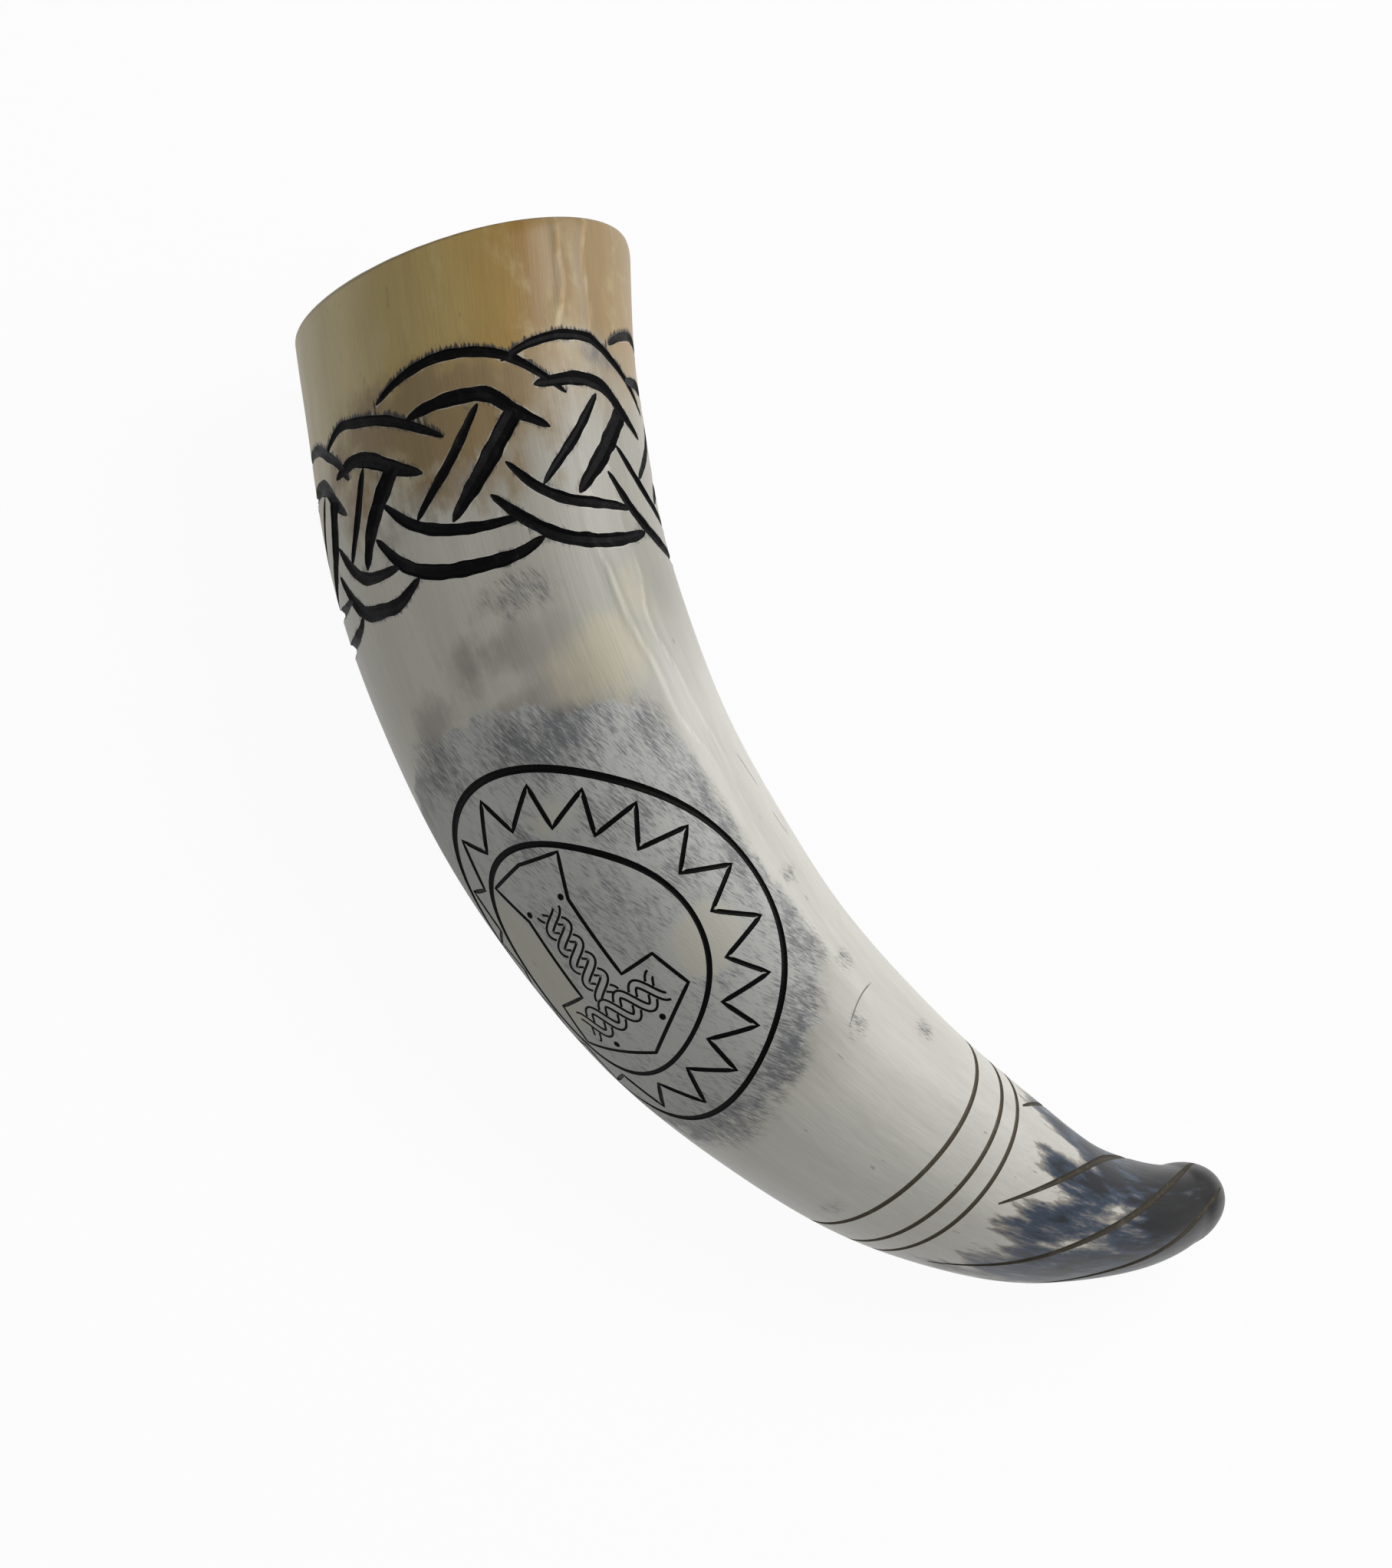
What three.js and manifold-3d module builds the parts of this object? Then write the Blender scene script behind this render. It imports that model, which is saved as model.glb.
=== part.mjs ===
// A drinking horn: a polished cattle horn, hollowed and sealed inside, carved and inked outside.
// Millimetres, +Z up. It lies on its side with the belly towards -Y, the mouth left and the tip right.
import * as THREE from 'three';
import { mergeVertices } from 'three/addons/utils/BufferGeometryUtils.js';
import Module from 'manifold-3d';

// Centreline and outside of the horn, from the mouth to the start of the rounded tip.
// Turn is the bend of the centreline in degrees, in the horn's own flat bend plane.
const STATIONS = [
  { along: -25, turn: -2, radius: 41.2 },
  { along: 0, turn: 0, radius: 40.5 },
  { along: 25, turn: 2.8, radius: 39.2 },
  { along: 50, turn: 7, radius: 38.7 },
  { along: 100, turn: 22, radius: 37.4 },
  { along: 150, turn: 38.5, radius: 34.7 },
  { along: 200, turn: 57, radius: 31 },
  { along: 240, turn: 69, radius: 26.9 },
  { along: 270, turn: 79, radius: 21.9 },
  { along: 295, turn: 90, radius: 16.6 },
  { along: 315, turn: 101, radius: 13.2 },
  { along: 330, turn: 112, radius: 10.5 },
];
const TIP_ROUNDING = 15.5;
const MOUTH_HEADING = -34;
const MOUTH_PLACE = -3.5;
const MOUTH_SKEW = 17.5;

// Hollow: the wall grows thicker from the mouth to the rounded end of the bore.
const WALL_AT_MOUTH = 3.2;
const WALL_AT_BORE_END = 7;
const BORE_DEPTH = 240;
const BORE_ROUNDING = 24;
const LINING_THICKNESS = 0.8;
const LINING_BELOW_RIM = 4;

// Carving: V-shaped cuts, deeper where they are wider, with the colour sunk a little below the surface.
const CUT_LEAST_DEPTH = 0.25;
const CUT_DEPTH_PER_WIDTH = 0.32;
const CUT_RISE = 1.2;
const CUT_POINT_WIDTH = 1.2;
const FILL_SINK = 0.1;
const FIT_CLEARANCE = 0.35;

// Plait of four strands round the mouth, in repeats; its top edge leans with the rim.
const BAND_REPEATS = 8;
const BAND_TOP_EDGE = 31;
const BAND_TOP_LEAN = 14;
const BAND_LOWER_EDGE = 78;
const BAND_FIRST_ARCH = 48;
const BAND_STROKE_SPAN = 45;

// Round medallion on the belly: its place on the horn, its two hand-drawn rings and the zigzag border
// between them. The inner ring is set a little towards the belly.
const MEDALLION_BELOW_BAND = 38.9;
const MEDALLION_AROUND = 71.6;
const MEDALLION_OUTER_RADIUS = 37.6;
const MEDALLION_INNER_RADIUS = 24.5;
const MEDALLION_INNER_OFFSET = 4.8;
const MEDALLION_OUTER_WIDTH = 2.2;
const MEDALLION_INNER_WIDTH = 1.8;
const RING_WAVER = 0.055;
const RING_WAVES = 3;
const RING_WAVE_START = 40;
const BORDER_TEETH = 18;
const BORDER_INSET = 0.22;
const BORDER_WIDTH = 1.5;

// Hammer pendant in the inner ring, its head towards the tip and a flared cap on its shaft, with two
// crossing strands down the shaft and two across the head.
const HAMMER_OFFSET = 7;
const HAMMER_LENGTH = 41.5;
const HAMMER_CAP_WIDTH = 21;
const HAMMER_CAP_HEIGHT = 8.5;
const HAMMER_CAP_RISE = 1.5;
const HAMMER_SHAFT_WIDTH = 13;
const HAMMER_HEAD_WIDTH = 30.5;
const HAMMER_FOOT_WIDTH = 35;
const HAMMER_HEAD_HEIGHT = 16;
const HAMMER_END_HEIGHT = 8.5;
const HAMMER_LINE_WIDTH = 1.6;
const STRAND_SWING = 3.2;
const STRAND_CROSSINGS = 6;
const STRAND_MARGIN = 3.2;
const STRAND_WIDTH = 1.4;

// Three rings cut round the horn below the medallion, leaning a little.
const RING_PLACES = [233, 242.5, 248.5];
const RING_WIDTH = 2;
const RING_LEAN = 3.6;
const RING_LEAN_TOWARDS = -45;

// Twisted cuts that run on from the last ring to the tip.
const TWIST_COUNT = 6;
const TWIST_START = 254;
const TWIST_SHORT_OF_TIP = 7.5;
const TWIST_PER_MM = -1.9;
const TWIST_FIRST = 42;
const TWIST_WIDTH = 2.4;

// Fineness of the faceted solids.
const FACETS_ROUND = 28;
const RING_SPACING = 20;
const NOSE_RINGS = 4;
const BORE_RINGS = 9;
const SPINE_STEP = 1;
const CUT_TOLERANCE = 0.4;
const EDGE_STEP = 5;
const ROLL_FIRST_STEP = 0.1;
const ROLL_LAST_STEP = 0.0005;
const ROLL_LEAST_GAIN = 1e-6;
const MOUTH_BLOCK_SIZE = 165;

const wasm = await Module();
wasm.setup();

const radians = THREE.MathUtils.degToRad;
const BODY_END = STATIONS.at(-1).along;
const TIP_END = BODY_END + TIP_ROUNDING;
const MOUTH_STOCK = STATIONS[0].along;
const MEDALLION_ALONG = BAND_LOWER_EDGE + MEDALLION_BELOW_BAND + MEDALLION_OUTER_RADIUS;
const TWIST_END = TIP_END - TWIST_SHORT_OF_TIP;

// A smooth value between the stations.
function stationCurve(key) {
  const places = STATIONS.map((station) => station.along);
  const values = STATIONS.map((station) => station[key]);
  const curve = new THREE.CubicInterpolant(places, values, 1);
  return (along) => curve.evaluate(Math.min(along, BODY_END))[0];
}
const bodyRadius = stationCurve('radius');
const turnAt = stationCurve('turn');

function outsideRadius(along) {
  const past = Math.max(0, along - BODY_END) / TIP_ROUNDING;
  return bodyRadius(along) * Math.sqrt(Math.max(0, 1 - past * past));
}

function boreRadius(along) {
  const share = Math.max(0, along) / BORE_DEPTH;
  const wall = THREE.MathUtils.lerp(WALL_AT_MOUTH, WALL_AT_BORE_END, share);
  const past = Math.max(0, along - (BORE_DEPTH - BORE_ROUNDING)) / BORE_ROUNDING;
  return (bodyRadius(along) - wall) * Math.sqrt(Math.max(0, 1 - past * past));
}

// Points of the centreline, one every SPINE_STEP, in the bend plane.
function spinePoints() {
  const points = [];
  const place = new THREE.Vector3();
  for (let along = MOUTH_STOCK; along <= TIP_END + SPINE_STEP; along += SPINE_STEP) {
    const heading = radians(MOUTH_HEADING + turnAt(along));
    points.push({ place: place.clone(), heading });
    place.x += SPINE_STEP * Math.cos(heading);
    place.y += SPINE_STEP * Math.sin(heading);
  }
  return points;
}
const spine = spinePoints();

// The centreline's place and directions: onward to the tip, out to the belly, and up.
function frameAt(along) {
  const position = (along - MOUTH_STOCK) / SPINE_STEP;
  const before = Math.min(Math.floor(position), spine.length - 2);
  const part = position - before;
  const place = spine[before].place.clone().lerp(spine[before + 1].place, part);
  const heading = THREE.MathUtils.lerp(spine[before].heading, spine[before + 1].heading, part);
  const onward = new THREE.Vector3(Math.cos(heading), Math.sin(heading), 0);
  const belly = new THREE.Vector3(Math.sin(heading), -Math.cos(heading), 0);
  return { place, onward, belly, up: new THREE.Vector3(0, 0, 1) };
}

// A point at a radius, and the direction away from the centreline; around is 0 on top and 90 on the belly.
function pointAround(along, around, radius) {
  const { place, onward, belly, up } = frameAt(along);
  const away = up.multiplyScalar(Math.cos(around)).addScaledVector(belly, Math.sin(around));
  return { point: place.addScaledVector(away, radius), away, onward };
}

function surfaceAt(along, aroundDegrees) {
  const { point, away, onward } = pointAround(along, radians(aroundDegrees), outsideRadius(along));
  const taper = outsideRadius(along + SPINE_STEP / 2) - outsideRadius(along - SPINE_STEP / 2);
  return { point, normal: away.addScaledVector(onward, -taper / SPINE_STEP).normalize() };
}

// Boolean work on closed meshes.
function solidOf(geometry) {
  const bare = new THREE.BufferGeometry();
  bare.setAttribute('position', geometry.getAttribute('position'));
  bare.setIndex(geometry.index);
  const merged = mergeVertices(bare);
  return new wasm.Manifold(
    new wasm.Mesh({
      numProp: 3,
      vertProperties: merged.getAttribute('position').array,
      triVerts: new Uint32Array(merged.index.array),
    }),
  );
}

function geometryOf(solid) {
  const { vertProperties, triVerts } = solid.getMesh();
  const geometry = new THREE.BufferGeometry();
  geometry.setAttribute('position', new THREE.BufferAttribute(vertProperties, 3));
  geometry.setIndex(new THREE.BufferAttribute(triVerts, 1));
  geometry.computeVertexNormals();
  return geometry;
}

const joined = (solids) => solids.reduce((whole, next) => whole.add(next));

// A turned profile, bent along the centreline. Profile points are (radius, along).
function bentLathe(profile) {
  const geometry = new THREE.LatheGeometry(profile, FACETS_ROUND);
  const position = geometry.getAttribute('position');
  for (let i = 0; i < position.count; i += 1) {
    const side = position.getX(i);
    const top = position.getZ(i);
    const { point } = pointAround(position.getY(i), Math.atan2(side, top), Math.hypot(side, top));
    position.setXYZ(i, point.x, point.y, point.z);
  }
  return solidOf(geometry);
}

function spread(from, to, steps) {
  return Array.from({ length: steps + 1 }, (_, i) => THREE.MathUtils.lerp(from, to, i / steps));
}

// The outside from the mouth stock to the tip on the axis.
function outsideProfile() {
  const rings = Math.ceil((BODY_END - MOUTH_STOCK) / RING_SPACING);
  const body = spread(MOUTH_STOCK, BODY_END, rings);
  const nose = spread(0, Math.PI / 2, NOSE_RINGS).slice(1, -1);
  const places = [...body, ...nose.map((angle) => BODY_END + TIP_ROUNDING * Math.sin(angle))];
  const points = places.map((along) => new THREE.Vector2(outsideRadius(along), along));
  return [...points, new THREE.Vector2(0, TIP_END)];
}

// The bore, or a surface set in from it, from the mouth stock to its end on the axis.
function boreProfile(inset) {
  const straight = spread(MOUTH_STOCK, BORE_DEPTH - BORE_ROUNDING, BORE_RINGS);
  const end = spread(0, Math.PI / 2, NOSE_RINGS).slice(1, -1);
  const places = [...straight, ...end.map((a) => BORE_DEPTH - BORE_ROUNDING + BORE_ROUNDING * Math.sin(a))];
  const points = places.map((along) => new THREE.Vector2(boreRadius(along) - inset, along));
  return [...points, new THREE.Vector2(0, BORE_DEPTH - inset)];
}

// A block whose face is the sawn plane of the mouth, moved into the horn by a depth.
function mouthBlock(depth) {
  const { place, onward, belly, up } = frameAt(MOUTH_PLACE);
  const skew = radians(MOUTH_SKEW);
  const outward = onward.multiplyScalar(-Math.cos(skew)).addScaledVector(belly, Math.sin(skew));
  const side = new THREE.Vector3().crossVectors(up, outward);
  const basis = new THREE.Matrix4().makeBasis(side, up, outward);
  basis.setPosition(place.addScaledVector(outward, MOUTH_BLOCK_SIZE / 2 - depth));
  const block = new THREE.BoxGeometry(MOUTH_BLOCK_SIZE, MOUTH_BLOCK_SIZE, MOUTH_BLOCK_SIZE);
  return solidOf(block.applyMatrix4(basis));
}

const cutStep = (along) => Math.sqrt(8 * outsideRadius(along) * CUT_TOLERANCE);
const cutDepth = (width) => CUT_LEAST_DEPTH + CUT_DEPTH_PER_WIDTH * width;

// One wedge along a line of cut points. Its sides keep the slope of the cut, and it reaches from
// the bottom of the cut, raised by a lift, to a height above the surface.
function wedge(line, closed, lift, height) {
  const count = line.length;
  const spots = line.map(({ along, around }) => surfaceAt(along, around));
  const corners = [];
  for (let i = 0; i < count; i += 1) {
    const before = spots[closed ? (i + count - 1) % count : Math.max(0, i - 1)].point;
    const after = spots[closed ? (i + 1) % count : Math.min(count - 1, i + 1)].point;
    const { point, normal } = spots[i];
    const side = after.clone().sub(before).cross(normal).normalize();
    const depth = cutDepth(line[i].width);
    const half = ((line[i].width / 2) * (depth - lift + height)) / depth;
    corners.push(point.clone().addScaledVector(normal, height).addScaledVector(side, half));
    corners.push(point.clone().addScaledVector(normal, lift - depth));
    corners.push(point.clone().addScaledVector(normal, height).addScaledVector(side, -half));
  }
  const faces = [];
  for (let i = 0; i < (closed ? count : count - 1); i += 1) {
    const here = 3 * i;
    const next = 3 * ((i + 1) % count);
    for (let edge = 0; edge < 3; edge += 1) {
      const other = (edge + 1) % 3;
      faces.push(here + edge, here + other, next + edge);
      faces.push(here + other, next + other, next + edge);
    }
  }
  if (!closed) {
    const last = 3 * (count - 1);
    faces.push(0, 2, 1, last, last + 1, last + 2);
  }
  const geometry = new THREE.BufferGeometry().setFromPoints(corners);
  geometry.setIndex(faces);
  return solidOf(geometry);
}

const cutSolid = ({ line, closed }) => wedge(line, closed, 0, CUT_RISE);
const fillSolid = ({ line, closed }) => wedge(line, closed, FIT_CLEARANCE, -FILL_SINK);

// A hand-cut stroke swells from a point to its full width and back.
function strokeWidth(width, share) {
  return THREE.MathUtils.lerp(CUT_POINT_WIDTH, width, Math.sin(Math.PI * share));
}

// The strokes of one repeat of the plait, round the top of its arch. Each point is degrees, in a repeat
// that spans BAND_STROKE_SPAN, and height, from 0 at the band's top edge to 1 at its lower one.
const BAND_STROKES = [
  { width: 2, points: [[27, 0.03], [14, -0.05], [2, -0.07], [-10, -0.04], [-22, 0.06], [-49.5, 0.378]] },
  { width: 4, points: [[18, 0.12], [5, 0.15], [-8, 0.17], [-20, 0.28], [-38, 0.53]] },
  { width: 2, points: [[-13, 0.21], [19, 0.7]] },
  { width: 4.5, points: [[-23, 0.33], [7, 0.79]] },
  { width: 2.4, points: [[32, 0.48], [19, 0.69], [8, 0.78], [-6, 0.82], [-18, 0.86]] },
  { width: 4, points: [[40, 0.6], [27, 0.85], [15, 0.96], [0, 1.01], [-27, 0.93]] },
];

function bandTop(around) {
  const lean = outsideRadius(BAND_TOP_EDGE) * Math.tan(radians(BAND_TOP_LEAN));
  return BAND_TOP_EDGE + lean * Math.sin(radians(around));
}

function bandCuts() {
  const cuts = [];
  for (let repeat = 0; repeat < BAND_REPEATS; repeat += 1) {
    const arch = BAND_FIRST_ARCH + (repeat * 360) / BAND_REPEATS;
    for (const { width, points } of BAND_STROKES) {
      const curve = new THREE.SplineCurve(points.map(([x, y]) => new THREE.Vector2(x, y)));
      const reach = radians(Math.abs(points.at(-1)[0] - points[0][0])) * outsideRadius(BAND_TOP_EDGE);
      const steps = Math.ceil(reach / cutStep(BAND_TOP_EDGE));
      const line = spread(0, 1, steps).map((share) => {
        const spot = curve.getPointAt(share);
        const around = arch + (spot.x / BAND_STROKE_SPAN) * (360 / BAND_REPEATS);
        const along = THREE.MathUtils.lerp(bandTop(around), BAND_LOWER_EDGE, spot.y);
        return { along, around, width: strokeWidth(width, share) };
      });
      cuts.push({ line, closed: false });
    }
  }
  return cuts;
}

// A point of the medallion, from its centre towards the tip and down round the belly.
function medallionSpot(toTip, roundBelly, width) {
  const along = MEDALLION_ALONG + toTip;
  const around = MEDALLION_AROUND + THREE.MathUtils.radToDeg(roundBelly / outsideRadius(along));
  return { along, around, width };
}

// A spot on a hand-drawn ring of the medallion, whose radius swells and shrinks a little round it.
function ringSpot(angle, radius, offset) {
  const swell = 1 + RING_WAVER * Math.cos(RING_WAVES * (angle - radians(RING_WAVE_START)));
  return new THREE.Vector2(radius * swell * Math.cos(angle), radius * swell * Math.sin(angle) + offset);
}

function medallionRing(radius, offset, width) {
  const steps = Math.ceil((2 * Math.PI * radius) / cutStep(MEDALLION_ALONG));
  const angles = spread(0, 2 * Math.PI, steps).slice(0, -1);
  const spots = angles.map((angle) => ringSpot(angle, radius, offset));
  return { line: spots.map((spot) => medallionSpot(spot.x, spot.y, width)), closed: true };
}

// Points along straight edges between corners, no further apart than the step of an edge.
function edgePoints(corners) {
  return corners.flatMap((from, i) => {
    const to = corners[(i + 1) % corners.length];
    const steps = Math.ceil(from.distanceTo(to) / EDGE_STEP);
    return spread(0, 1, steps).slice(0, -1).map((share) => from.clone().lerp(to, share));
  });
}

function medallionBorder() {
  const corners = spread(0, 2 * Math.PI, 2 * BORDER_TEETH).slice(0, -1).map((angle, i) => {
    const low = ringSpot(angle, MEDALLION_INNER_RADIUS, MEDALLION_INNER_OFFSET);
    const high = ringSpot(angle, MEDALLION_OUTER_RADIUS, 0);
    return low.lerp(high, i % 2 === 0 ? BORDER_INSET : 1 - BORDER_INSET);
  });
  const line = edgePoints(corners).map((spot) => medallionSpot(spot.x, spot.y, BORDER_WIDTH));
  return { line, closed: true };
}

const HAMMER_TOP = -HAMMER_LENGTH / 2;
const HAMMER_HEAD_TOP = HAMMER_LENGTH / 2 - HAMMER_HEAD_HEIGHT;

function hammerOutline() {
  const half = [
    new THREE.Vector2(HAMMER_TOP, HAMMER_CAP_WIDTH / 2),
    new THREE.Vector2(HAMMER_TOP + HAMMER_CAP_HEIGHT, HAMMER_SHAFT_WIDTH / 2),
    new THREE.Vector2(HAMMER_HEAD_TOP, HAMMER_SHAFT_WIDTH / 2),
    new THREE.Vector2(HAMMER_HEAD_TOP, HAMMER_HEAD_WIDTH / 2),
    new THREE.Vector2(HAMMER_HEAD_TOP + HAMMER_END_HEIGHT, HAMMER_FOOT_WIDTH / 2),
  ];
  const other = half.map((corner) => new THREE.Vector2(corner.x, -corner.y)).reverse();
  const foot = new THREE.Vector2(HAMMER_LENGTH / 2, 0);
  const cap = new THREE.Vector2(HAMMER_TOP - HAMMER_CAP_RISE, 0);
  const spots = edgePoints([...half, foot, ...other, cap]);
  const line = spots.map((spot) => medallionSpot(spot.x, spot.y + HAMMER_OFFSET, HAMMER_LINE_WIDTH));
  return { line, closed: true };
}

// Two zigzag strands that cross each other, between two ends of a straight run.
function crossingStrands(from, to) {
  const run = to.clone().sub(from).normalize();
  const across = new THREE.Vector2(-run.y, run.x);
  return [1, -1].map((side) => {
    const line = spread(0, 1, STRAND_CROSSINGS).map((share, i) => {
      const swing = side * STRAND_SWING * (i % 2 === 0 ? 1 : -1);
      const spot = from.clone().lerp(to, share).addScaledVector(across, swing);
      return medallionSpot(spot.x, spot.y + HAMMER_OFFSET, STRAND_WIDTH);
    });
    return { line, closed: false };
  });
}

function hammerStrands() {
  const end = HAMMER_HEAD_TOP + HAMMER_END_HEIGHT / 2 + STRAND_SWING / 2;
  const top = new THREE.Vector2(HAMMER_TOP + HAMMER_CAP_HEIGHT, 0);
  const left = new THREE.Vector2(end, STRAND_MARGIN - HAMMER_HEAD_WIDTH / 2);
  const right = new THREE.Vector2(end, HAMMER_HEAD_WIDTH / 2 - STRAND_MARGIN);
  return [...crossingStrands(top, new THREE.Vector2(end, 0)), ...crossingStrands(left, right)];
}

function ringCut(place) {
  const steps = Math.ceil((2 * Math.PI * outsideRadius(place)) / cutStep(place));
  const line = spread(0, 360, steps).slice(0, -1).map((around) => {
    const along = place + RING_LEAN * Math.cos(radians(around - RING_LEAN_TOWARDS));
    return { along, around, width: RING_WIDTH };
  });
  return { line, closed: true };
}

function twistCut(first) {
  const steps = Math.ceil((TWIST_END - TWIST_START) / cutStep(TWIST_END));
  const line = spread(0, 1, steps).map((share) => {
    const along = THREE.MathUtils.lerp(TWIST_START, TWIST_END, share);
    const around = first + TWIST_PER_MM * (along - TWIST_START);
    return { along, around, width: strokeWidth(TWIST_WIDTH, share) };
  });
  return { line, closed: false };
}

// Each coloured piece of carving by its name, with its cuts.
const carving = new Map();
RING_PLACES.forEach((place, i) => carving.set(`tip_ring_stain_${i + 1}`, [ringCut(place)]));
for (let i = 0; i < TWIST_COUNT; i += 1) {
  carving.set(`tip_twist_stain_${i + 1}`, [twistCut(TWIST_FIRST + (i * 360) / TWIST_COUNT)]);
}
carving.set('medallion_outer_ring_ink', [medallionRing(MEDALLION_OUTER_RADIUS, 0, MEDALLION_OUTER_WIDTH)]);
const innerRing = medallionRing(MEDALLION_INNER_RADIUS, MEDALLION_INNER_OFFSET, MEDALLION_INNER_WIDTH);
carving.set('medallion_inner_ring_ink', [innerRing]);
carving.set('medallion_border_ink', [medallionBorder()]);
carving.set('medallion_hammer_ink', [hammerOutline()]);
carving.set('medallion_strands_ink', hammerStrands());
carving.set('plait_band_ink', bandCuts());

function shellSolid() {
  const profile = [...boreProfile(0).reverse(), ...outsideProfile()];
  const cuts = joined([...carving.values()].flat().map(cutSolid));
  return bentLathe(profile).subtract(mouthBlock(0)).subtract(cuts);
}

function liningSolid() {
  const outer = boreProfile(FIT_CLEARANCE);
  const inner = boreProfile(FIT_CLEARANCE + LINING_THICKNESS);
  return bentLathe([...inner.reverse(), ...outer]).subtract(mouthBlock(LINING_BELOW_RIM));
}

const HORN = { color: 0xcbb892, roughness: 0.38, metalness: 0 };
const LINING = { color: 0x8f6c3c, roughness: 0.18, metalness: 0 };
const INK = { color: 0x1c1b1a, roughness: 0.7, metalness: 0 };
const STAIN = { color: 0x6d5c4b, roughness: 0.65, metalness: 0 };

function piece(name, solid, look) {
  const mesh = new THREE.Mesh(geometryOf(solid), new THREE.MeshStandardMaterial(look));
  mesh.name = name;
  return mesh;
}

const horn = new THREE.Group();
const shell = piece('horn_shell', shellSolid(), HORN);
horn.add(shell);
horn.add(piece('inner_lining', liningSolid(), LINING));
for (const [name, cuts] of carving) {
  const look = name.endsWith('ink') ? INK : STAIN;
  horn.add(piece(name, joined(cuts.map(fillSolid)), look));
}

function corners(geometry) {
  const position = geometry.getAttribute('position');
  const cornerAt = (i) => new THREE.Vector3().fromBufferAttribute(position, i);
  return Array.from({ length: position.count }, (_, i) => cornerAt(i));
}

// Centre of mass of a closed solid, from the tetrahedra between its faces and the origin.
function massCentre(geometry) {
  const points = corners(geometry);
  const faces = geometry.index.array;
  const centre = new THREE.Vector3();
  let volume = 0;
  for (let i = 0; i < faces.length; i += 3) {
    const [a, b, c] = [points[faces[i]], points[faces[i + 1]], points[faces[i + 2]]];
    const part = new THREE.Vector3().crossVectors(a, b).dot(c);
    volume += part;
    centre.addScaledVector(a, part / 4).addScaledVector(b, part / 4).addScaledVector(c, part / 4);
  }
  return centre.divideScalar(volume);
}

// The horn rolls on its side until its centre of mass lies lowest: the up direction there.
function restingUp(geometry) {
  const points = corners(geometry);
  const centre = massCentre(geometry);
  const heightAt = (up) => {
    const lowest = points.reduce((low, point) => Math.min(low, point.dot(up)), Infinity);
    return centre.dot(up) - lowest;
  };
  let best = new THREE.Vector3(0, 0, 1);
  for (let step = ROLL_FIRST_STEP; step > ROLL_LAST_STEP; step /= 2) {
    let moved = true;
    while (moved) {
      moved = false;
      for (const [x, y] of [[1, 0], [-1, 0], [0, 1], [0, -1], [1, 1], [-1, -1], [1, -1], [-1, 1]]) {
        const tried = best.clone().add(new THREE.Vector3(x * step, y * step, 0)).normalize();
        if (heightAt(tried) < heightAt(best) - ROLL_LEAST_GAIN) {
          best = tried;
          moved = true;
        }
      }
    }
  }
  return best;
}

horn.quaternion.setFromUnitVectors(restingUp(shell.geometry), new THREE.Vector3(0, 0, 1));
const box = new THREE.Box3().setFromObject(horn, true);
const middle = box.getCenter(new THREE.Vector3());
horn.position.set(-middle.x, -middle.y, -box.min.z);

const drinkingHorn = new THREE.Group();
drinkingHorn.add(horn);

export default drinkingHorn;
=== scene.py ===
import math

import bpy
import numpy as np
from mathutils import Matrix, Quaternion, Vector


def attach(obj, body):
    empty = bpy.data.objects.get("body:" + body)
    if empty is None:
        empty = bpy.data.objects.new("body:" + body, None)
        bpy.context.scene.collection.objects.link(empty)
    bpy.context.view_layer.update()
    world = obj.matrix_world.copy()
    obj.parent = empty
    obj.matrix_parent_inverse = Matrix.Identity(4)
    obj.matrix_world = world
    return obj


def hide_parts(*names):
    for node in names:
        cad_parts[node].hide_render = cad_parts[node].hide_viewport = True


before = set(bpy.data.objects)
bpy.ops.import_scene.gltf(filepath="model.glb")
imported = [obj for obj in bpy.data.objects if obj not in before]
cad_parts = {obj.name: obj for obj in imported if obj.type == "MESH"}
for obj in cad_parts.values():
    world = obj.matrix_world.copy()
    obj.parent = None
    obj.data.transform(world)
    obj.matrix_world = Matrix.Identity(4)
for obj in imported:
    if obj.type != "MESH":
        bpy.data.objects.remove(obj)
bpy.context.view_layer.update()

# Horn shell: one cattle horn, hollowed from the mouth and solid at the tip, scraped and polished outside.
# It is bent in one flat plane and lies on its side with the belly to the front. The mouth is sawn off askew.
MM = 0.001
STATIONS = np.array([
    (-25, -2, 41.2),
    (0, 0, 40.5),
    (25, 2.8, 39.2),
    (50, 7, 38.7),
    (100, 22, 37.4),
    (150, 38.5, 34.7),
    (200, 57, 31),
    (240, 69, 26.9),
    (270, 79, 21.9),
    (295, 90, 16.6),
    (315, 101, 13.2),
    (330, 112, 10.5),
])
BODY_END = 330
TIP_ROUNDING = 15.5
TIP_END = BODY_END + TIP_ROUNDING
MOUTH_HEADING = -34
MOUTH_PLACE = -3.5
MOUTH_SKEW = math.radians(17.5)
SKEW_FADE = 70
WALL_AT_MOUTH = 3.2
WALL_AT_BORE_END = 7
BORE_DEPTH = 240
BORE_ROUNDING = 24
RIM_SOFTNESS = 0.7
RING_SIDES = 48
RIDGE_RISE = 0.6
RIDGE_WIDTH = 1.3
# Two ridges down the top of the horn, each as places along it and where it runs round it there, in degrees.
RIDGES = [((0, 90, 130, 160), (3.5, 7, -3, -6)), ((0, 20, 95, 160), (-7, -9, -5, -14))]
SCRAPING_FADE = 30
LYING_TURN = Quaternion((0.99725, -0.06455, 0.03633, 0)).normalized()
LYING_PLACE = Vector((-155.806, 21.657, 40.329)) * MM
LYING = Matrix.Translation(LYING_PLACE) @ LYING_TURN.to_matrix().to_4x4()


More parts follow.
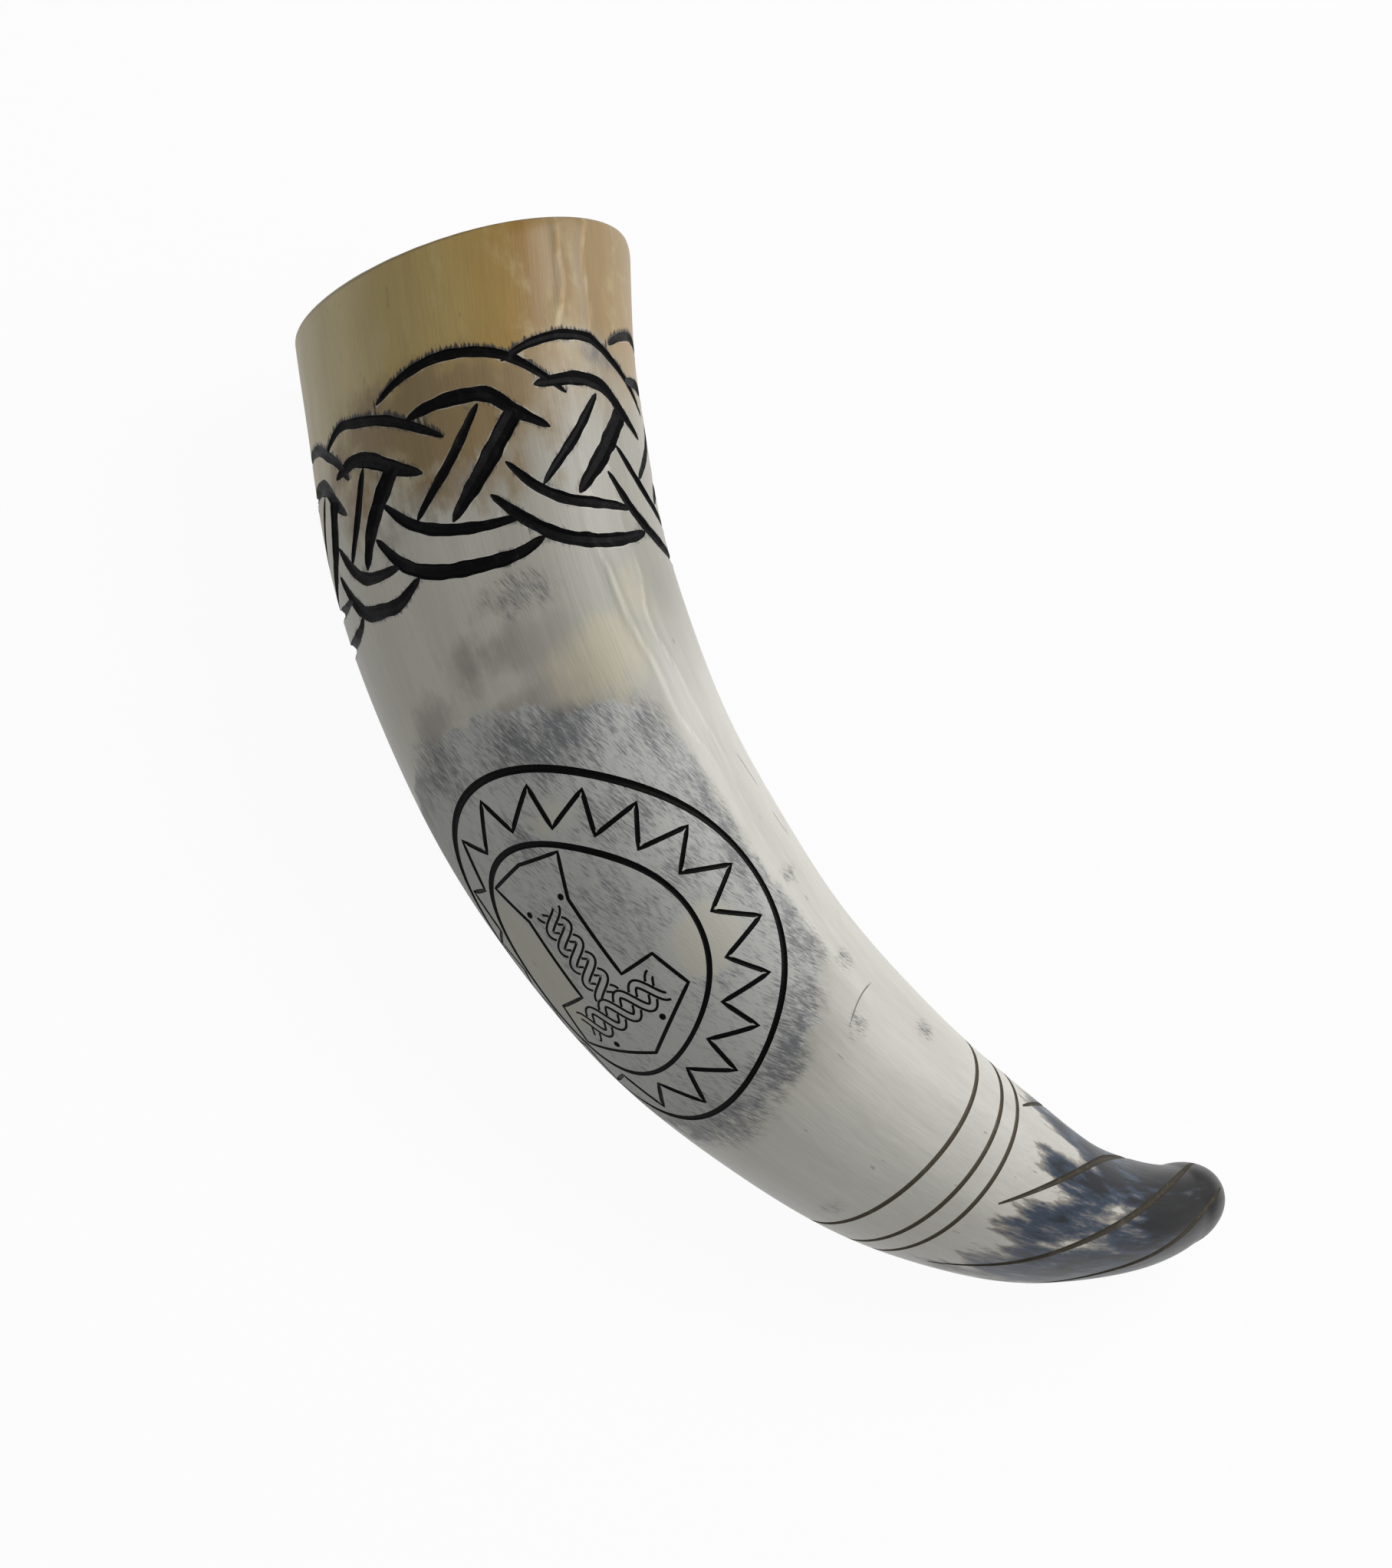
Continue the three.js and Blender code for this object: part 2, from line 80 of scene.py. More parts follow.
def station_curve(column):
    places = STATIONS[:, 0]
    values = STATIONS[:, column]
    rise = np.diff(values) / np.diff(places)
    slope = np.concatenate([rise[:1], (rise[1:] + rise[:-1]) / 2, rise[-1:]])

    def value_at(along):
        along = np.minimum(along, BODY_END)
        i = np.clip(np.searchsorted(places, along) - 1, 0, len(places) - 2)
        step = places[i + 1] - places[i]
        t = (along - places[i]) / step
        start = (1 + 2 * t) * (1 - t) ** 2 * values[i] + t * (1 - t) ** 2 * step * slope[i]
        end = t * t * (3 - 2 * t) * values[i + 1] + t * t * (t - 1) * step * slope[i + 1]
        return start + end

    return value_at


turn_at = station_curve(1)
body_radius = station_curve(2)


def outside_radius(along):
    past = np.maximum(0, along - BODY_END) / TIP_ROUNDING
    return body_radius(along) * np.sqrt(np.maximum(0, 1 - past ** 2))


def bore_radius(along):
    wall = WALL_AT_MOUTH + (WALL_AT_BORE_END - WALL_AT_MOUTH) * np.maximum(0, along) / BORE_DEPTH
    past = np.maximum(0, along - (BORE_DEPTH - BORE_ROUNDING)) / BORE_ROUNDING
    return (body_radius(along) - wall) * np.sqrt(np.maximum(0, 1 - past ** 2))


# The middle line of the horn, a point every millimetre from just before the mouth to past the tip.
spine_along = np.arange(-25.0, TIP_END + 2)
spine_heading = np.radians(MOUTH_HEADING + turn_at(spine_along))
spine_steps = np.stack([np.cos(spine_heading), np.sin(spine_heading)], 1)
spine = np.concatenate([np.zeros((1, 2)), np.cumsum(spine_steps, 0)[:-1]])


def horn_point(along, around, radius):
    """Points in mm at a radius from the middle line; around is 0 on top and a quarter turn on the belly."""
    heading = np.interp(along, spine_along, spine_heading)
    out = radius * np.sin(around)
    x = np.interp(along, spine_along, spine[:, 0]) + out * np.sin(heading)
    y = np.interp(along, spine_along, spine[:, 1]) - out * np.cos(heading)
    return np.stack([x, y, radius * np.cos(around) + 0 * along], -1)


def horn_places(points):
    """Where points in millimetres lie on the horn: along it, around it and away from its middle line."""
    nearest = np.concatenate([
        np.argmin(((part[:, None, :2] - spine[None]) ** 2).sum(-1), 1)
        for part in np.array_split(points, max(1, len(points) // 4000))
    ])
    off = points[:, :2] - spine[nearest]
    heading = spine_heading[nearest]
    forward = off[:, 0] * np.cos(heading) + off[:, 1] * np.sin(heading)
    belly = off[:, 0] * np.sin(heading) - off[:, 1] * np.cos(heading)
    return spine_along[nearest] + forward, np.arctan2(belly, points[:, 2]), np.hypot(belly, points[:, 2])


def arc_from(degrees, around, girth):
    """How far round the horn places lie from a direction, in millimetres at the radius girth."""
    return np.radians((np.degrees(around) - degrees + 180) % 360 - 180) * girth


def mesh_points(mesh):
    flat = np.empty(3 * len(mesh.vertices))
    mesh.vertices.foreach_get("co", flat)
    return flat.reshape(-1, 3) / MM


def set_mesh_points(mesh, points):
    mesh.vertices.foreach_set("co", (points * MM).ravel())
    mesh.update()


# The rings of the wall, up the bore, over the rim and on to the tip, each as (place along, radius, share of
# the mouth's skew).
def skew_share(along):
    return max(0, (SKEW_FADE - along) / (SKEW_FADE - MOUTH_PLACE))


bore_end = [BORE_DEPTH - BORE_ROUNDING * (1 - math.sin(math.radians(a))) for a in (88, 75, 60, 45, 30, 15)]
bore_run = np.linspace(BORE_DEPTH - BORE_ROUNDING, SKEW_FADE, 13)
mouth_run = np.linspace(SKEW_FADE, MOUTH_PLACE + RIM_SOFTNESS, 10)[1:]
body_run = np.linspace(SKEW_FADE, BODY_END, 38)
nose_run = [BODY_END + TIP_ROUNDING * math.sin(math.radians(a)) for a in (18, 36, 52, 66, 78, 86)]
inside_run = (*bore_end, *bore_run, *mouth_run)
rings = [(along, float(bore_radius(along)), skew_share(along)) for along in inside_run]
soft_edge = RIM_SOFTNESS / 3
for rim_radius in (bore_radius(MOUTH_PLACE) + soft_edge, outside_radius(MOUTH_PLACE) - soft_edge):
    rings.append((MOUTH_PLACE, float(rim_radius), 1))
outside_run = (*mouth_run[::-1], *body_run, *nose_run)
rings += [(along, float(outside_radius(along)), skew_share(along)) for along in outside_run]


def ring_frame(along, skew):
    centre = horn_point(np.array([along]), np.array([0.0]), np.array([0.0]))[0] * MM
    heading = float(np.interp(along, spine_along, spine_heading)) + skew * MOUTH_SKEW
    return Vector(centre), heading


bpy.ops.object.select_all(action="DESELECT")
first_along, first_radius, first_skew = rings[0]
centre, heading = ring_frame(first_along, first_skew)
bpy.ops.mesh.primitive_circle_add(
    vertices=RING_SIDES, radius=first_radius * MM, fill_type="NGON",
    location=centre, rotation=(0, math.pi / 2, heading),
)
horn_shell = bpy.context.object
horn_shell.name = "polished_horn_shell"
horn_finish = bpy.data.materials.new("polished_horn")
horn_shell.data.materials.append(horn_finish)
bpy.ops.object.transform_apply(location=True, rotation=True, scale=True)
bpy.ops.object.mode_set(mode="EDIT")
bpy.ops.mesh.select_all(action="SELECT")
for (along_a, radius_a, skew_a), (along_b, radius_b, skew_b) in zip(rings, rings[1:]):
    centre_a, heading_a = ring_frame(along_a, skew_a)
    centre_b, heading_b = ring_frame(along_b, skew_b)
    bpy.ops.mesh.extrude_region_move(TRANSFORM_OT_translate={"value": centre_b - centre_a})
    grow = radius_b / radius_a
    bpy.ops.transform.resize(value=(grow, grow, grow), center_override=centre_b)
    bpy.ops.transform.rotate(value=heading_a - heading_b, orient_axis="Z", center_override=centre_b)
bpy.ops.mesh.select_all(action="SELECT")
bpy.ops.mesh.normals_make_consistent(inside=False)
bpy.ops.object.mode_set(mode="OBJECT")
rounding = horn_shell.modifiers.new("rounding", "SUBSURF")
rounding.levels = 2
rounding.render_levels = 2
bpy.ops.object.modifier_apply(modifier="rounding")


def scraped(along, around):
    """The low ridges and the unevenness that scraping leaves on the outside, in millimetres."""
    uneven = 0.2 * np.sin(along / 17 + 2 * around) + 0.14 * np.sin(along / 9 - 3 * around + 1)
    uneven += 0.12 * np.sin(5 * around + along / 31)
    ridge = RIDGE_RISE * ridge_height(along) * np.exp(-((ridge_gap(along, around) / RIDGE_WIDTH) ** 2))
    return (uneven + ridge) * np.clip((TIP_END - along) / SCRAPING_FADE, 0, 1)


def ridge_gap(along, around):
    """How far a place lies from the middle of the nearer ridge; both waver as they run down from the rim."""
    gap = math.inf
    for places, arounds in RIDGES:
        middle = np.interp(along, places, arounds) + 1.3 * np.sin(along / 7 + arounds[0])
        middle = middle + 0.9 * np.sin(along / 3.7)
        gap = np.minimum(gap, np.abs(arc_from(middle, around, outside_radius(along))))
    return gap


def ridge_height(along):
    """How high the ridges stand, from 0 to 1: worn down under the carved band, and running out below it."""
    return np.interp(along, (22, 30, 78, 86, 160), (1, 0.25, 0.25, 0.8, 0))


def below_rim(along, around, radius):
    return along - MOUTH_PLACE - radius * math.tan(MOUTH_SKEW) * np.sin(around)


# The tilted rings are drawn out sideways, so that the mouth is as wide as a slanting saw cut leaves it.
along, around, radius = horn_places(mesh_points(horn_shell.data))
normals = np.empty(3 * len(along))
horn_shell.data.vertices.foreach_get("normal", normals)
outward = horn_point(along, around, radius + 1) - horn_point(along, around, radius)
inside = ((normals.reshape(-1, 3) * outward).sum(1) < 0) & (along < BORE_DEPTH)
ring_along = along
for _ in range(4):
    tilt = MOUTH_SKEW * np.clip((SKEW_FADE - ring_along) / (SKEW_FADE - MOUTH_PLACE), 0, 1)
    ring_along = along - radius * np.sin(around) * np.tan(tilt)
along = ring_along + (along - ring_along) / np.cos(tilt)
belly = radius * np.sin(around) / np.cos(tilt)
above = radius * np.cos(around)
around = np.arctan2(belly, above)
radius = np.hypot(belly, above)

# The wall is trued to its turned shape, and its outside gets the marks of scraping. The rim keeps its soft
# edges.
rim_radius = radius + body_radius(along) - body_radius(MOUTH_PLACE)
true_radius = np.where(inside, bore_radius(along), outside_radius(along) + scraped(along, around))
hold = np.clip((below_rim(along, around, radius) - 0.4) / 2, 0, 1)
set_mesh_points(horn_shell.data, horn_point(along, around, rim_radius + hold * (true_radius - rim_radius)))


# Carved cuts: a gouge of round section follows each drawn line and takes a groove out of the shell. Lines are
# (along, around in degrees, width); a groove is as deep as a set share of its width and runs out at its ends.
def make_active(piece):
    bpy.ops.object.select_all(action="DESELECT")
    piece.select_set(True)
    bpy.context.view_layer.objects.active = piece


def gouge(name, line, closed, share_deep):
    line = np.asarray(line, float)
    along, around, width = line[:, 0], np.radians(line[:, 1]), line[:, 2]
    depth = share_deep * width
    round_radius = (width ** 2 / 4 + depth ** 2) / (2 * depth)
    path = horn_point(along, around, outside_radius(along) + scraped(along, around) + round_radius - depth)
    curve = bpy.data.curves.new(name, "CURVE")
    curve.dimensions = "3D"
    curve.bevel_depth = MM
    curve.bevel_resolution = 3
    curve.use_fill_caps = True
    spline = curve.splines.new("POLY")
    spline.points.add(len(path) - 1)
    spline.use_cyclic_u = closed
    for spot, place, size in zip(spline.points, path * MM, round_radius):
        spot.co = (*place, 1)
        spot.radius = size
    cutter = bpy.data.objects.new(name, curve)
    bpy.context.scene.collection.objects.link(cutter)
    make_active(cutter)
    bpy.ops.object.convert(target="MESH")
    bpy.ops.object.mode_set(mode="EDIT")
    bpy.ops.mesh.select_all(action="SELECT")
    bpy.ops.mesh.remove_doubles(threshold=MM / 1000)
    bpy.ops.mesh.normals_make_consistent(inside=False)
    bpy.ops.object.mode_set(mode="OBJECT")
    return cutter


def copied_faces(name, chosen, finish):
    """A piece of its own made of chosen faces of the shell, which keeps them."""
    bpy.ops.object.mode_set(mode="EDIT")
    bpy.ops.mesh.select_mode(type="FACE")
    bpy.ops.mesh.select_all(action="DESELECT")
    bpy.ops.object.mode_set(mode="OBJECT")
    horn_shell.data.polygons.foreach_set("select", chosen)
    bpy.ops.object.mode_set(mode="EDIT")
    bpy.ops.mesh.duplicate()
    bpy.ops.mesh.separate(type="SELECTED")
    bpy.ops.object.mode_set(mode="OBJECT")
    copy = [o for o in bpy.context.selected_objects if o != horn_shell][0]
    copy.name = name
    copy.data.materials.clear()
    copy.data.materials.append(finish)
    make_active(copy)
    return copy


def cut_and_fill(name, lines, closed, share_deep, filling, film):
    """Cuts lines into the shell, and lays a film of colour of its own over the walls of their grooves."""
    tray = bpy.data.collections.new(name)
    bpy.context.scene.collection.children.link(tray)
    cutters = [gouge(name, line, closed, share_deep) for line in lines]
    for cutter in cutters:
        bpy.context.scene.collection.objects.unlink(cutter)
        tray.objects.link(cutter)
        cutter.data.materials.append(filling)
    make_active(horn_shell)
    cut = horn_shell.modifiers.new(name, "BOOLEAN")
    cut.operand_type = "COLLECTION"
    cut.collection = tray
    cut.solver = "MANIFOLD"
    cut.material_mode = "TRANSFER"
    bpy.ops.object.modifier_apply(modifier=name)
    for cutter in cutters:
        bpy.data.objects.remove(cutter)
    bpy.data.collections.remove(tray)

    slot = horn_shell.data.materials.find(filling.name)
    filled = copied_faces(name, [face.material_index == slot for face in horn_shell.data.polygons], filling)
    for face in horn_shell.data.polygons:
        face.material_index = 0
    horn_shell.data.materials.pop(index=slot)
    thicken = filled.modifiers.new("film", "SOLIDIFY")
    thicken.thickness = film * MM
    thicken.offset = 1
    bpy.ops.object.modifier_apply(modifier="film")
    bpy.ops.object.shade_smooth_by_angle(angle=math.radians(35))
    return filled


def lay_down(piece, slot, *nodes):
    """Turns a finished piece with the horn onto its side, and fixes it to the object's one body."""
    piece.data.transform(LYING)
    piece.data.update()
    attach(piece, "root")
    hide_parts(*nodes)


def stroke_line(points, width, point_width, lead, spacing=1.2):
    """A hand-cut stroke on a smooth curve, swelling from a point or a blunt lead to its width and back."""
    points = np.asarray(points, float)
    places = np.concatenate([[0], np.cumsum(np.hypot(*np.diff(points, axis=0).T))])
    count = max(6, int(places[-1] / spacing))
    share = np.linspace(0, 1, count)
    before = 2 * points[:1] - points[1:2]
    after = 2 * points[-1:] - points[-2:-1]
    padded = np.concatenate([before, points, after])
    i = np.clip(np.searchsorted(places, share * places[-1]) - 1, 0, len(points) - 2)
    t = ((share * places[-1] - places[i]) / (places[i + 1] - places[i]))[:, None]
    p, q, r, s = padded[i], padded[i + 1], padded[i + 2], padded[i + 3]
    curve = q + t * (r - p) / 2 + t ** 2 * (p - 2.5 * q + 2 * r - s / 2)
    curve += t ** 3 * (1.5 * (q - r) + (s - p) / 2)
    swell = np.sin(np.pi * (lead + (1 - lead) * share)) ** 0.42
    pushed = share * places[-1]
    unsteady = 1 + 0.06 * np.sin(pushed / 1.3 + points[0, 0]) + 0.05 * np.sin(pushed / 0.75 + points[-1, 1])
    return curve, point_width + (width - point_width) * swell * unsteady


# Plait band: four strands woven round the mouth, drawn only by the cuts beside them. The cuts are gouged by
# hand, filled with black ink and wiped, so the ink is matt, uneven and thin at the edges of the cuts. Each
# stroke is its width, its blunt lead, and places in degrees from its arch and in shares of the band's height.
BAND_REPEATS = 8
BAND_TOP_EDGE = 31
BAND_TOP_LEAN = math.radians(14)
BAND_LOWER_EDGE = 78
BAND_FIRST_ARCH = 48
ARC_PER_DEGREE = 0.68
BAND_STROKES = [
    (2.8, 0, [(25, -0.04), (15, -0.1), (3, -0.133), (-10, -0.098), (-22, -0.008), (-33, 0.113), (-42, 0.24)]),
    (4.0, 0, [(15, 0.135), (5, 0.12), (-5, 0.125), (-14, 0.175), (-23, 0.3), (-33, 0.41)]),
    (2.5, 0, [(-10, 0.2), (3, 0.445), (18, 0.68)]),
    (4.6, 0.3, [(-22, 0.28), (-8, 0.545), (6, 0.75)]),
    (3.1, 0, [(30, 0.51), (21, 0.67), (10, 0.78), (-3, 0.83), (-16, 0.83)]),
    (3.8, 0, [(37, 0.66), (27, 0.85), (16, 0.96), (2, 1.015), (-12, 1.005), (-22, 0.95)]),
]
# The repeats were stepped off by eye: even places round the horn, where they came to lie, and how low each
# one sits.
BAND_EVEN = (-50, 83, 128, 310, 420)
BAND_STEPPED = (-50, 83, 110, 310, 420)
BAND_SLUMP = (0, 0.085, 0.05, 0, 0, 0, 0, 0.05)
BAND_WAVER = 0.22
BAND_POINT_WIDTH = 0.5
BAND_DEPTH_SHARE = 0.3
BAND_INK_FILM = 0.05


def node(tree, kind, inputs=None, **settings):
    """Adds a node; an input is given a value, or the socket that feeds it."""
    made = tree.nodes.new(kind)
    for key, value in settings.items():
        setattr(made, key, value)
    for key, value in (inputs or {}).items():
        if isinstance(value, bpy.types.NodeSocket):
            tree.links.new(value, made.inputs[key])
        else:
            made.inputs[key].default_value = value
    return made


def noise(tree, vector, scale, detail=3.0, roughness=0.55, distortion=0.0):
    inputs = {"Vector": vector, "Scale": scale, "Detail": detail, "Roughness": roughness}
    inputs["Distortion"] = distortion
    return node(tree, "ShaderNodeTexNoise", inputs).outputs["Fac"]


def stretched(tree, vector, share):
    """Places pressed together along the horn, so that what is made from them is long and narrow."""
    return node(tree, "ShaderNodeMapping", {"Vector": vector, "Scale": (1, 1, share)}).outputs["Vector"]


def smooth_step(tree, value, low, high):
    inputs = {"Value": value, "From Min": low, "From Max": high}
    return node(tree, "ShaderNodeMapRange", inputs, interpolation_type="SMOOTHSTEP").outputs["Result"]


def mix(tree, share, first, second):
    made = node(tree, "ShaderNodeMix", data_type="RGBA")
    for socket, value in zip((made.inputs[0], made.inputs[6], made.inputs[7]), (share, first, second)):
        if isinstance(value, bpy.types.NodeSocket):
            tree.links.new(value, socket)
        elif isinstance(value, tuple):
            socket.default_value = (*value, 1)
        else:
            socket.default_value = value
    return made.outputs[2]


def maths(tree, operation, first, second=0.0, third=0.0):
    inputs = {0: first, 1: second, 2: third}
    return node(tree, "ShaderNodeMath", inputs, operation=operation).outputs[0]


# Dried colour in a cut: paler patches, partly wiped dust and partly painted sheen; grainy, and never quite
# even.
dried_colour = bpy.data.node_groups.new("dried_colour", "ShaderNodeTree")
for socket_name, kind in (("Colour", "Color"), ("Dust and sheen", "Color"), ("Dust share", "Float")):
    dried_colour.interface.new_socket(socket_name, in_out="INPUT", socket_type=f"NodeSocket{kind}")
for socket_name, kind in (("Colour", "Color"), ("Roughness", "Float"), ("Grain", "Float")):
    dried_colour.interface.new_socket(socket_name, in_out="OUTPUT", socket_type=f"NodeSocket{kind}")
given = node(dried_colour, "NodeGroupInput")
spot = node(dried_colour, "ShaderNodeTexCoord").outputs["Object"]
grain = noise(dried_colour, spot, 1900, 4)
# Paler patches: partly dust and partly a painted sheen on the ink.
dust_and_sheen_patches = smooth_step(dried_colour, noise(dried_colour, spot, 330, 4, 0.65), 0.5, 0.78)
dust_and_sheen_amount = maths(dried_colour, "MULTIPLY", dust_and_sheen_patches, given.outputs["Dust share"])
result = node(dried_colour, "NodeGroupOutput")
with_dust_and_sheen = mix(dried_colour, dust_and_sheen_amount, given.outputs["Colour"], given.outputs["Dust and sheen"])
dried_colour.links.new(with_dust_and_sheen, result.inputs["Colour"])
dried_colour.links.new(maths(dried_colour, "MULTIPLY_ADD", grain, 0.35, 0.38), result.inputs["Roughness"])
dried_colour.links.new(grain, result.inputs["Grain"])


def cut_colour(name, colour, dust_and_sheen, dust_and_sheen_share):
    made = bpy.data.materials.new(name)
    made.use_nodes = True
    tree = made.node_tree
    shader = tree.nodes["Principled BSDF"]
    dried = node(tree, "ShaderNodeGroup", node_tree=dried_colour)
    dried.inputs["Colour"].default_value = (*colour, 1)
    dried.inputs["Dust and sheen"].default_value = (*dust_and_sheen, 1)
    dried.inputs["Dust share"].default_value = dust_and_sheen_share
    tree.links.new(dried.outputs["Colour"], shader.inputs["Base Color"])
    tree.links.new(dried.outputs["Roughness"], shader.inputs["Roughness"])
    shader.inputs["Specular IOR Level"].default_value = 0.12
    grainy = {"Height": dried.outputs["Grain"], "Strength": 0.5, "Distance": 0.0002}
    relief = node(tree, "ShaderNodeBump", grainy)
    tree.links.new(relief.outputs["Normal"], shader.inputs["Normal"])
    return made


def band_top(around_degrees):
    lean = float(outside_radius(BAND_TOP_EDGE)) * math.tan(BAND_TOP_LEAN)
    return BAND_TOP_EDGE + lean * math.sin(math.radians(around_degrees))


plait_lines = []
hand = np.random.default_rng(11)
for repeat in range(BAND_REPEATS):
    arch = BAND_FIRST_ARCH + repeat * 360 / BAND_REPEATS
    for width, lead, points in BAND_STROKES:
        drawn = []
        for degrees, height in points:
            around = np.interp(arch + degrees, BAND_EVEN, BAND_STEPPED)
            height += BAND_SLUMP[repeat] * (1 - height)
            along = band_top(around) + height * (BAND_LOWER_EDGE - band_top(around))
            drawn.append((around * ARC_PER_DEGREE, along))
        drawn = np.array(drawn) + hand.normal(0, BAND_WAVER, (len(drawn), 2))
        curve, widths = stroke_line(drawn, width, BAND_POINT_WIDTH, lead)
        plait_lines.append(np.column_stack([curve[:, 1], curve[:, 0] / ARC_PER_DEGREE, widths]))
# The black ink's paler patches are partly dust and partly a painted sheen on the floor of the cuts.
plait_ink = cut_colour("black_carving_ink", (0.002, 0.002, 0.0021), (0.03, 0.0295, 0.0305), 0.55)
plait = cut_and_fill("plait_ink", plait_lines, False, BAND_DEPTH_SHARE, plait_ink, BAND_INK_FILM)
lay_down(plait, "ink", "plait_band_ink")


# Medallion: two thin rings drawn by hand on the belly, with a zigzag between them, scribed and inked black.
MEDALLION_ALONG = 154.5
MEDALLION_AROUND = 71.6
MEDALLION_OUTER_RADIUS = 37.6
MEDALLION_INNER_RADIUS = 24.5
MEDALLION_INNER_OFFSET = 4.8
MEDALLION_OUTER_WIDTH = 1.75
MEDALLION_INNER_WIDTH = 1.45
RING_WAVER = 0.055
RING_WAVE_START = math.radians(40)
BORDER_TEETH = 18
BORDER_INSET = 0.22
BORDER_WIDTH = 1.2
SCRIBE_DEPTH_SHARE = 0.32
SCRIBE_INK_FILM = 0.04
medallion_ink = cut_colour("black_scribing_ink", (0.0015, 0.0015, 0.0015), (0.014, 0.0135, 0.013), 0.35)


def medallion_line(spots, width):
    """A line on the horn from spots in the medallion: towards the tip, and down round the belly."""
    spots = np.asarray(spots, float)
    along = MEDALLION_ALONG + spots[:, 0]
    around = MEDALLION_AROUND + np.degrees(spots[:, 1] / outside_radius(along))
    return np.column_stack([along, around, width + np.zeros(len(spots))])


def straight_edges(corners, closed, spacing=1.5):
    """Spots along straight edges from corner to corner."""
    corners = [np.array(corner, float) for corner in corners]
    if closed:
        corners.append(corners[0])
    spots = []
    for start, end in zip(corners, corners[1:]):
        steps = max(1, int(np.hypot(*(end - start)) / spacing))
        spots += [start + (end - start) * i / steps for i in range(steps)]
    return spots if closed else spots + [corners[-1]]


def ring_spots(turns, radius, offset):
    """Spots on a hand-drawn ring, whose radius swells and shrinks a little round it."""
    reach = radius * (1 + RING_WAVER * np.cos(3 * (turns - RING_WAVE_START)))
    return np.column_stack([reach * np.cos(turns), reach * np.sin(turns) + offset])


def scribe(name, lines, closed, film):
    """Cuts and inks lines of the medallion, whose ink is a piece of its own."""
    cut = cut_and_fill(name, lines, closed, SCRIBE_DEPTH_SHARE, medallion_ink, film)
    lay_down(cut, "ink", f"{name}_ink")


# The rings are pressed deeper, and so run wider, on the side of the mouth.
ring_turns = np.linspace(0, 2 * math.pi, 160, endpoint=False)
pressed = 1 - 0.14 * np.cos(ring_turns) + 0.05 * np.sin(5 * ring_turns)
outer_spots = ring_spots(ring_turns, MEDALLION_OUTER_RADIUS, 0)
outer_line = medallion_line(outer_spots, MEDALLION_OUTER_WIDTH * pressed)
scribe("medallion_outer_ring", [outer_line], True, SCRIBE_INK_FILM)

inner_spots = ring_spots(ring_turns, MEDALLION_INNER_RADIUS, MEDALLION_INNER_OFFSET)
inner_line = medallion_line(inner_spots, MEDALLION_INNER_WIDTH * pressed)
scribe("medallion_inner_ring", [inner_line], True, SCRIBE_INK_FILM)

tooth_turns = np.linspace(0, 2 * math.pi, 2 * BORDER_TEETH, endpoint=False)
low = ring_spots(tooth_turns, MEDALLION_INNER_RADIUS, MEDALLION_INNER_OFFSET)
high = ring_spots(tooth_turns, MEDALLION_OUTER_RADIUS, 0)
reach = np.where(np.arange(2 * BORDER_TEETH) % 2 == 0, BORDER_INSET, 1 - BORDER_INSET)[:, None]
border_line = medallion_line(straight_edges(low + (high - low) * reach, True), BORDER_WIDTH)
scribe("medallion_border", [border_line], True, SCRIBE_INK_FILM)


# Hammer pendant in the middle of the medallion: a plain outline with a flared cap, crossing strands and four
# punched dots, scribed finer than the rings.
HAMMER_OFFSET = 7
HAMMER_LENGTH = 41.5
HAMMER_CAP_WIDTH = 21
HAMMER_CAP_HEIGHT = 8.5
HAMMER_CAP_RISE = 1.5
HAMMER_SHAFT_WIDTH = 13
HAMMER_HEAD_WIDTH = 30.5
HAMMER_FOOT_WIDTH = 35
HAMMER_HEAD_HEIGHT = 16
HAMMER_END_HEIGHT = 8.5
HAMMER_LINE_WIDTH = 0.95
STRAND_SWING = 2.7
STRAND_CROSSINGS = 5
STRAND_MARGIN = 3.2
STRAND_WIDTH = 0.65
STRAND_HALF = 0.8
STRAND_GAP = 0.3
HAMMER_INK_FILM = 0.035
DOT_WIDTH = 1.6
DOTS = [(-13.3, -5.2), (-13.3, 5.2), (15.7, -7.6), (15.7, 7.6)]

shaft_top = -HAMMER_LENGTH / 2
head_top = HAMMER_LENGTH / 2 - HAMMER_HEAD_HEIGHT
half_outline = [
    (shaft_top, HAMMER_CAP_WIDTH / 2),
    (shaft_top + HAMMER_CAP_HEIGHT, HAMMER_SHAFT_WIDTH / 2),
    (head_top, HAMMER_SHAFT_WIDTH / 2),
    (head_top, HAMMER_HEAD_WIDTH / 2),
    (head_top + HAMMER_END_HEIGHT, HAMMER_FOOT_WIDTH / 2),
]
outline = half_outline + [(-shaft_top, 0)] + [(along, -side) for along, side in reversed(half_outline)]
outline.append((shaft_top - HAMMER_CAP_RISE, 0))


def hammer_line(spots, width):
    return medallion_line(np.asarray(spots, float) + (0, HAMMER_OFFSET), width)


outline_line = hammer_line(straight_edges(outline, True), HAMMER_LINE_WIDTH)
scribe("medallion_hammer", [outline_line], True, HAMMER_INK_FILM)


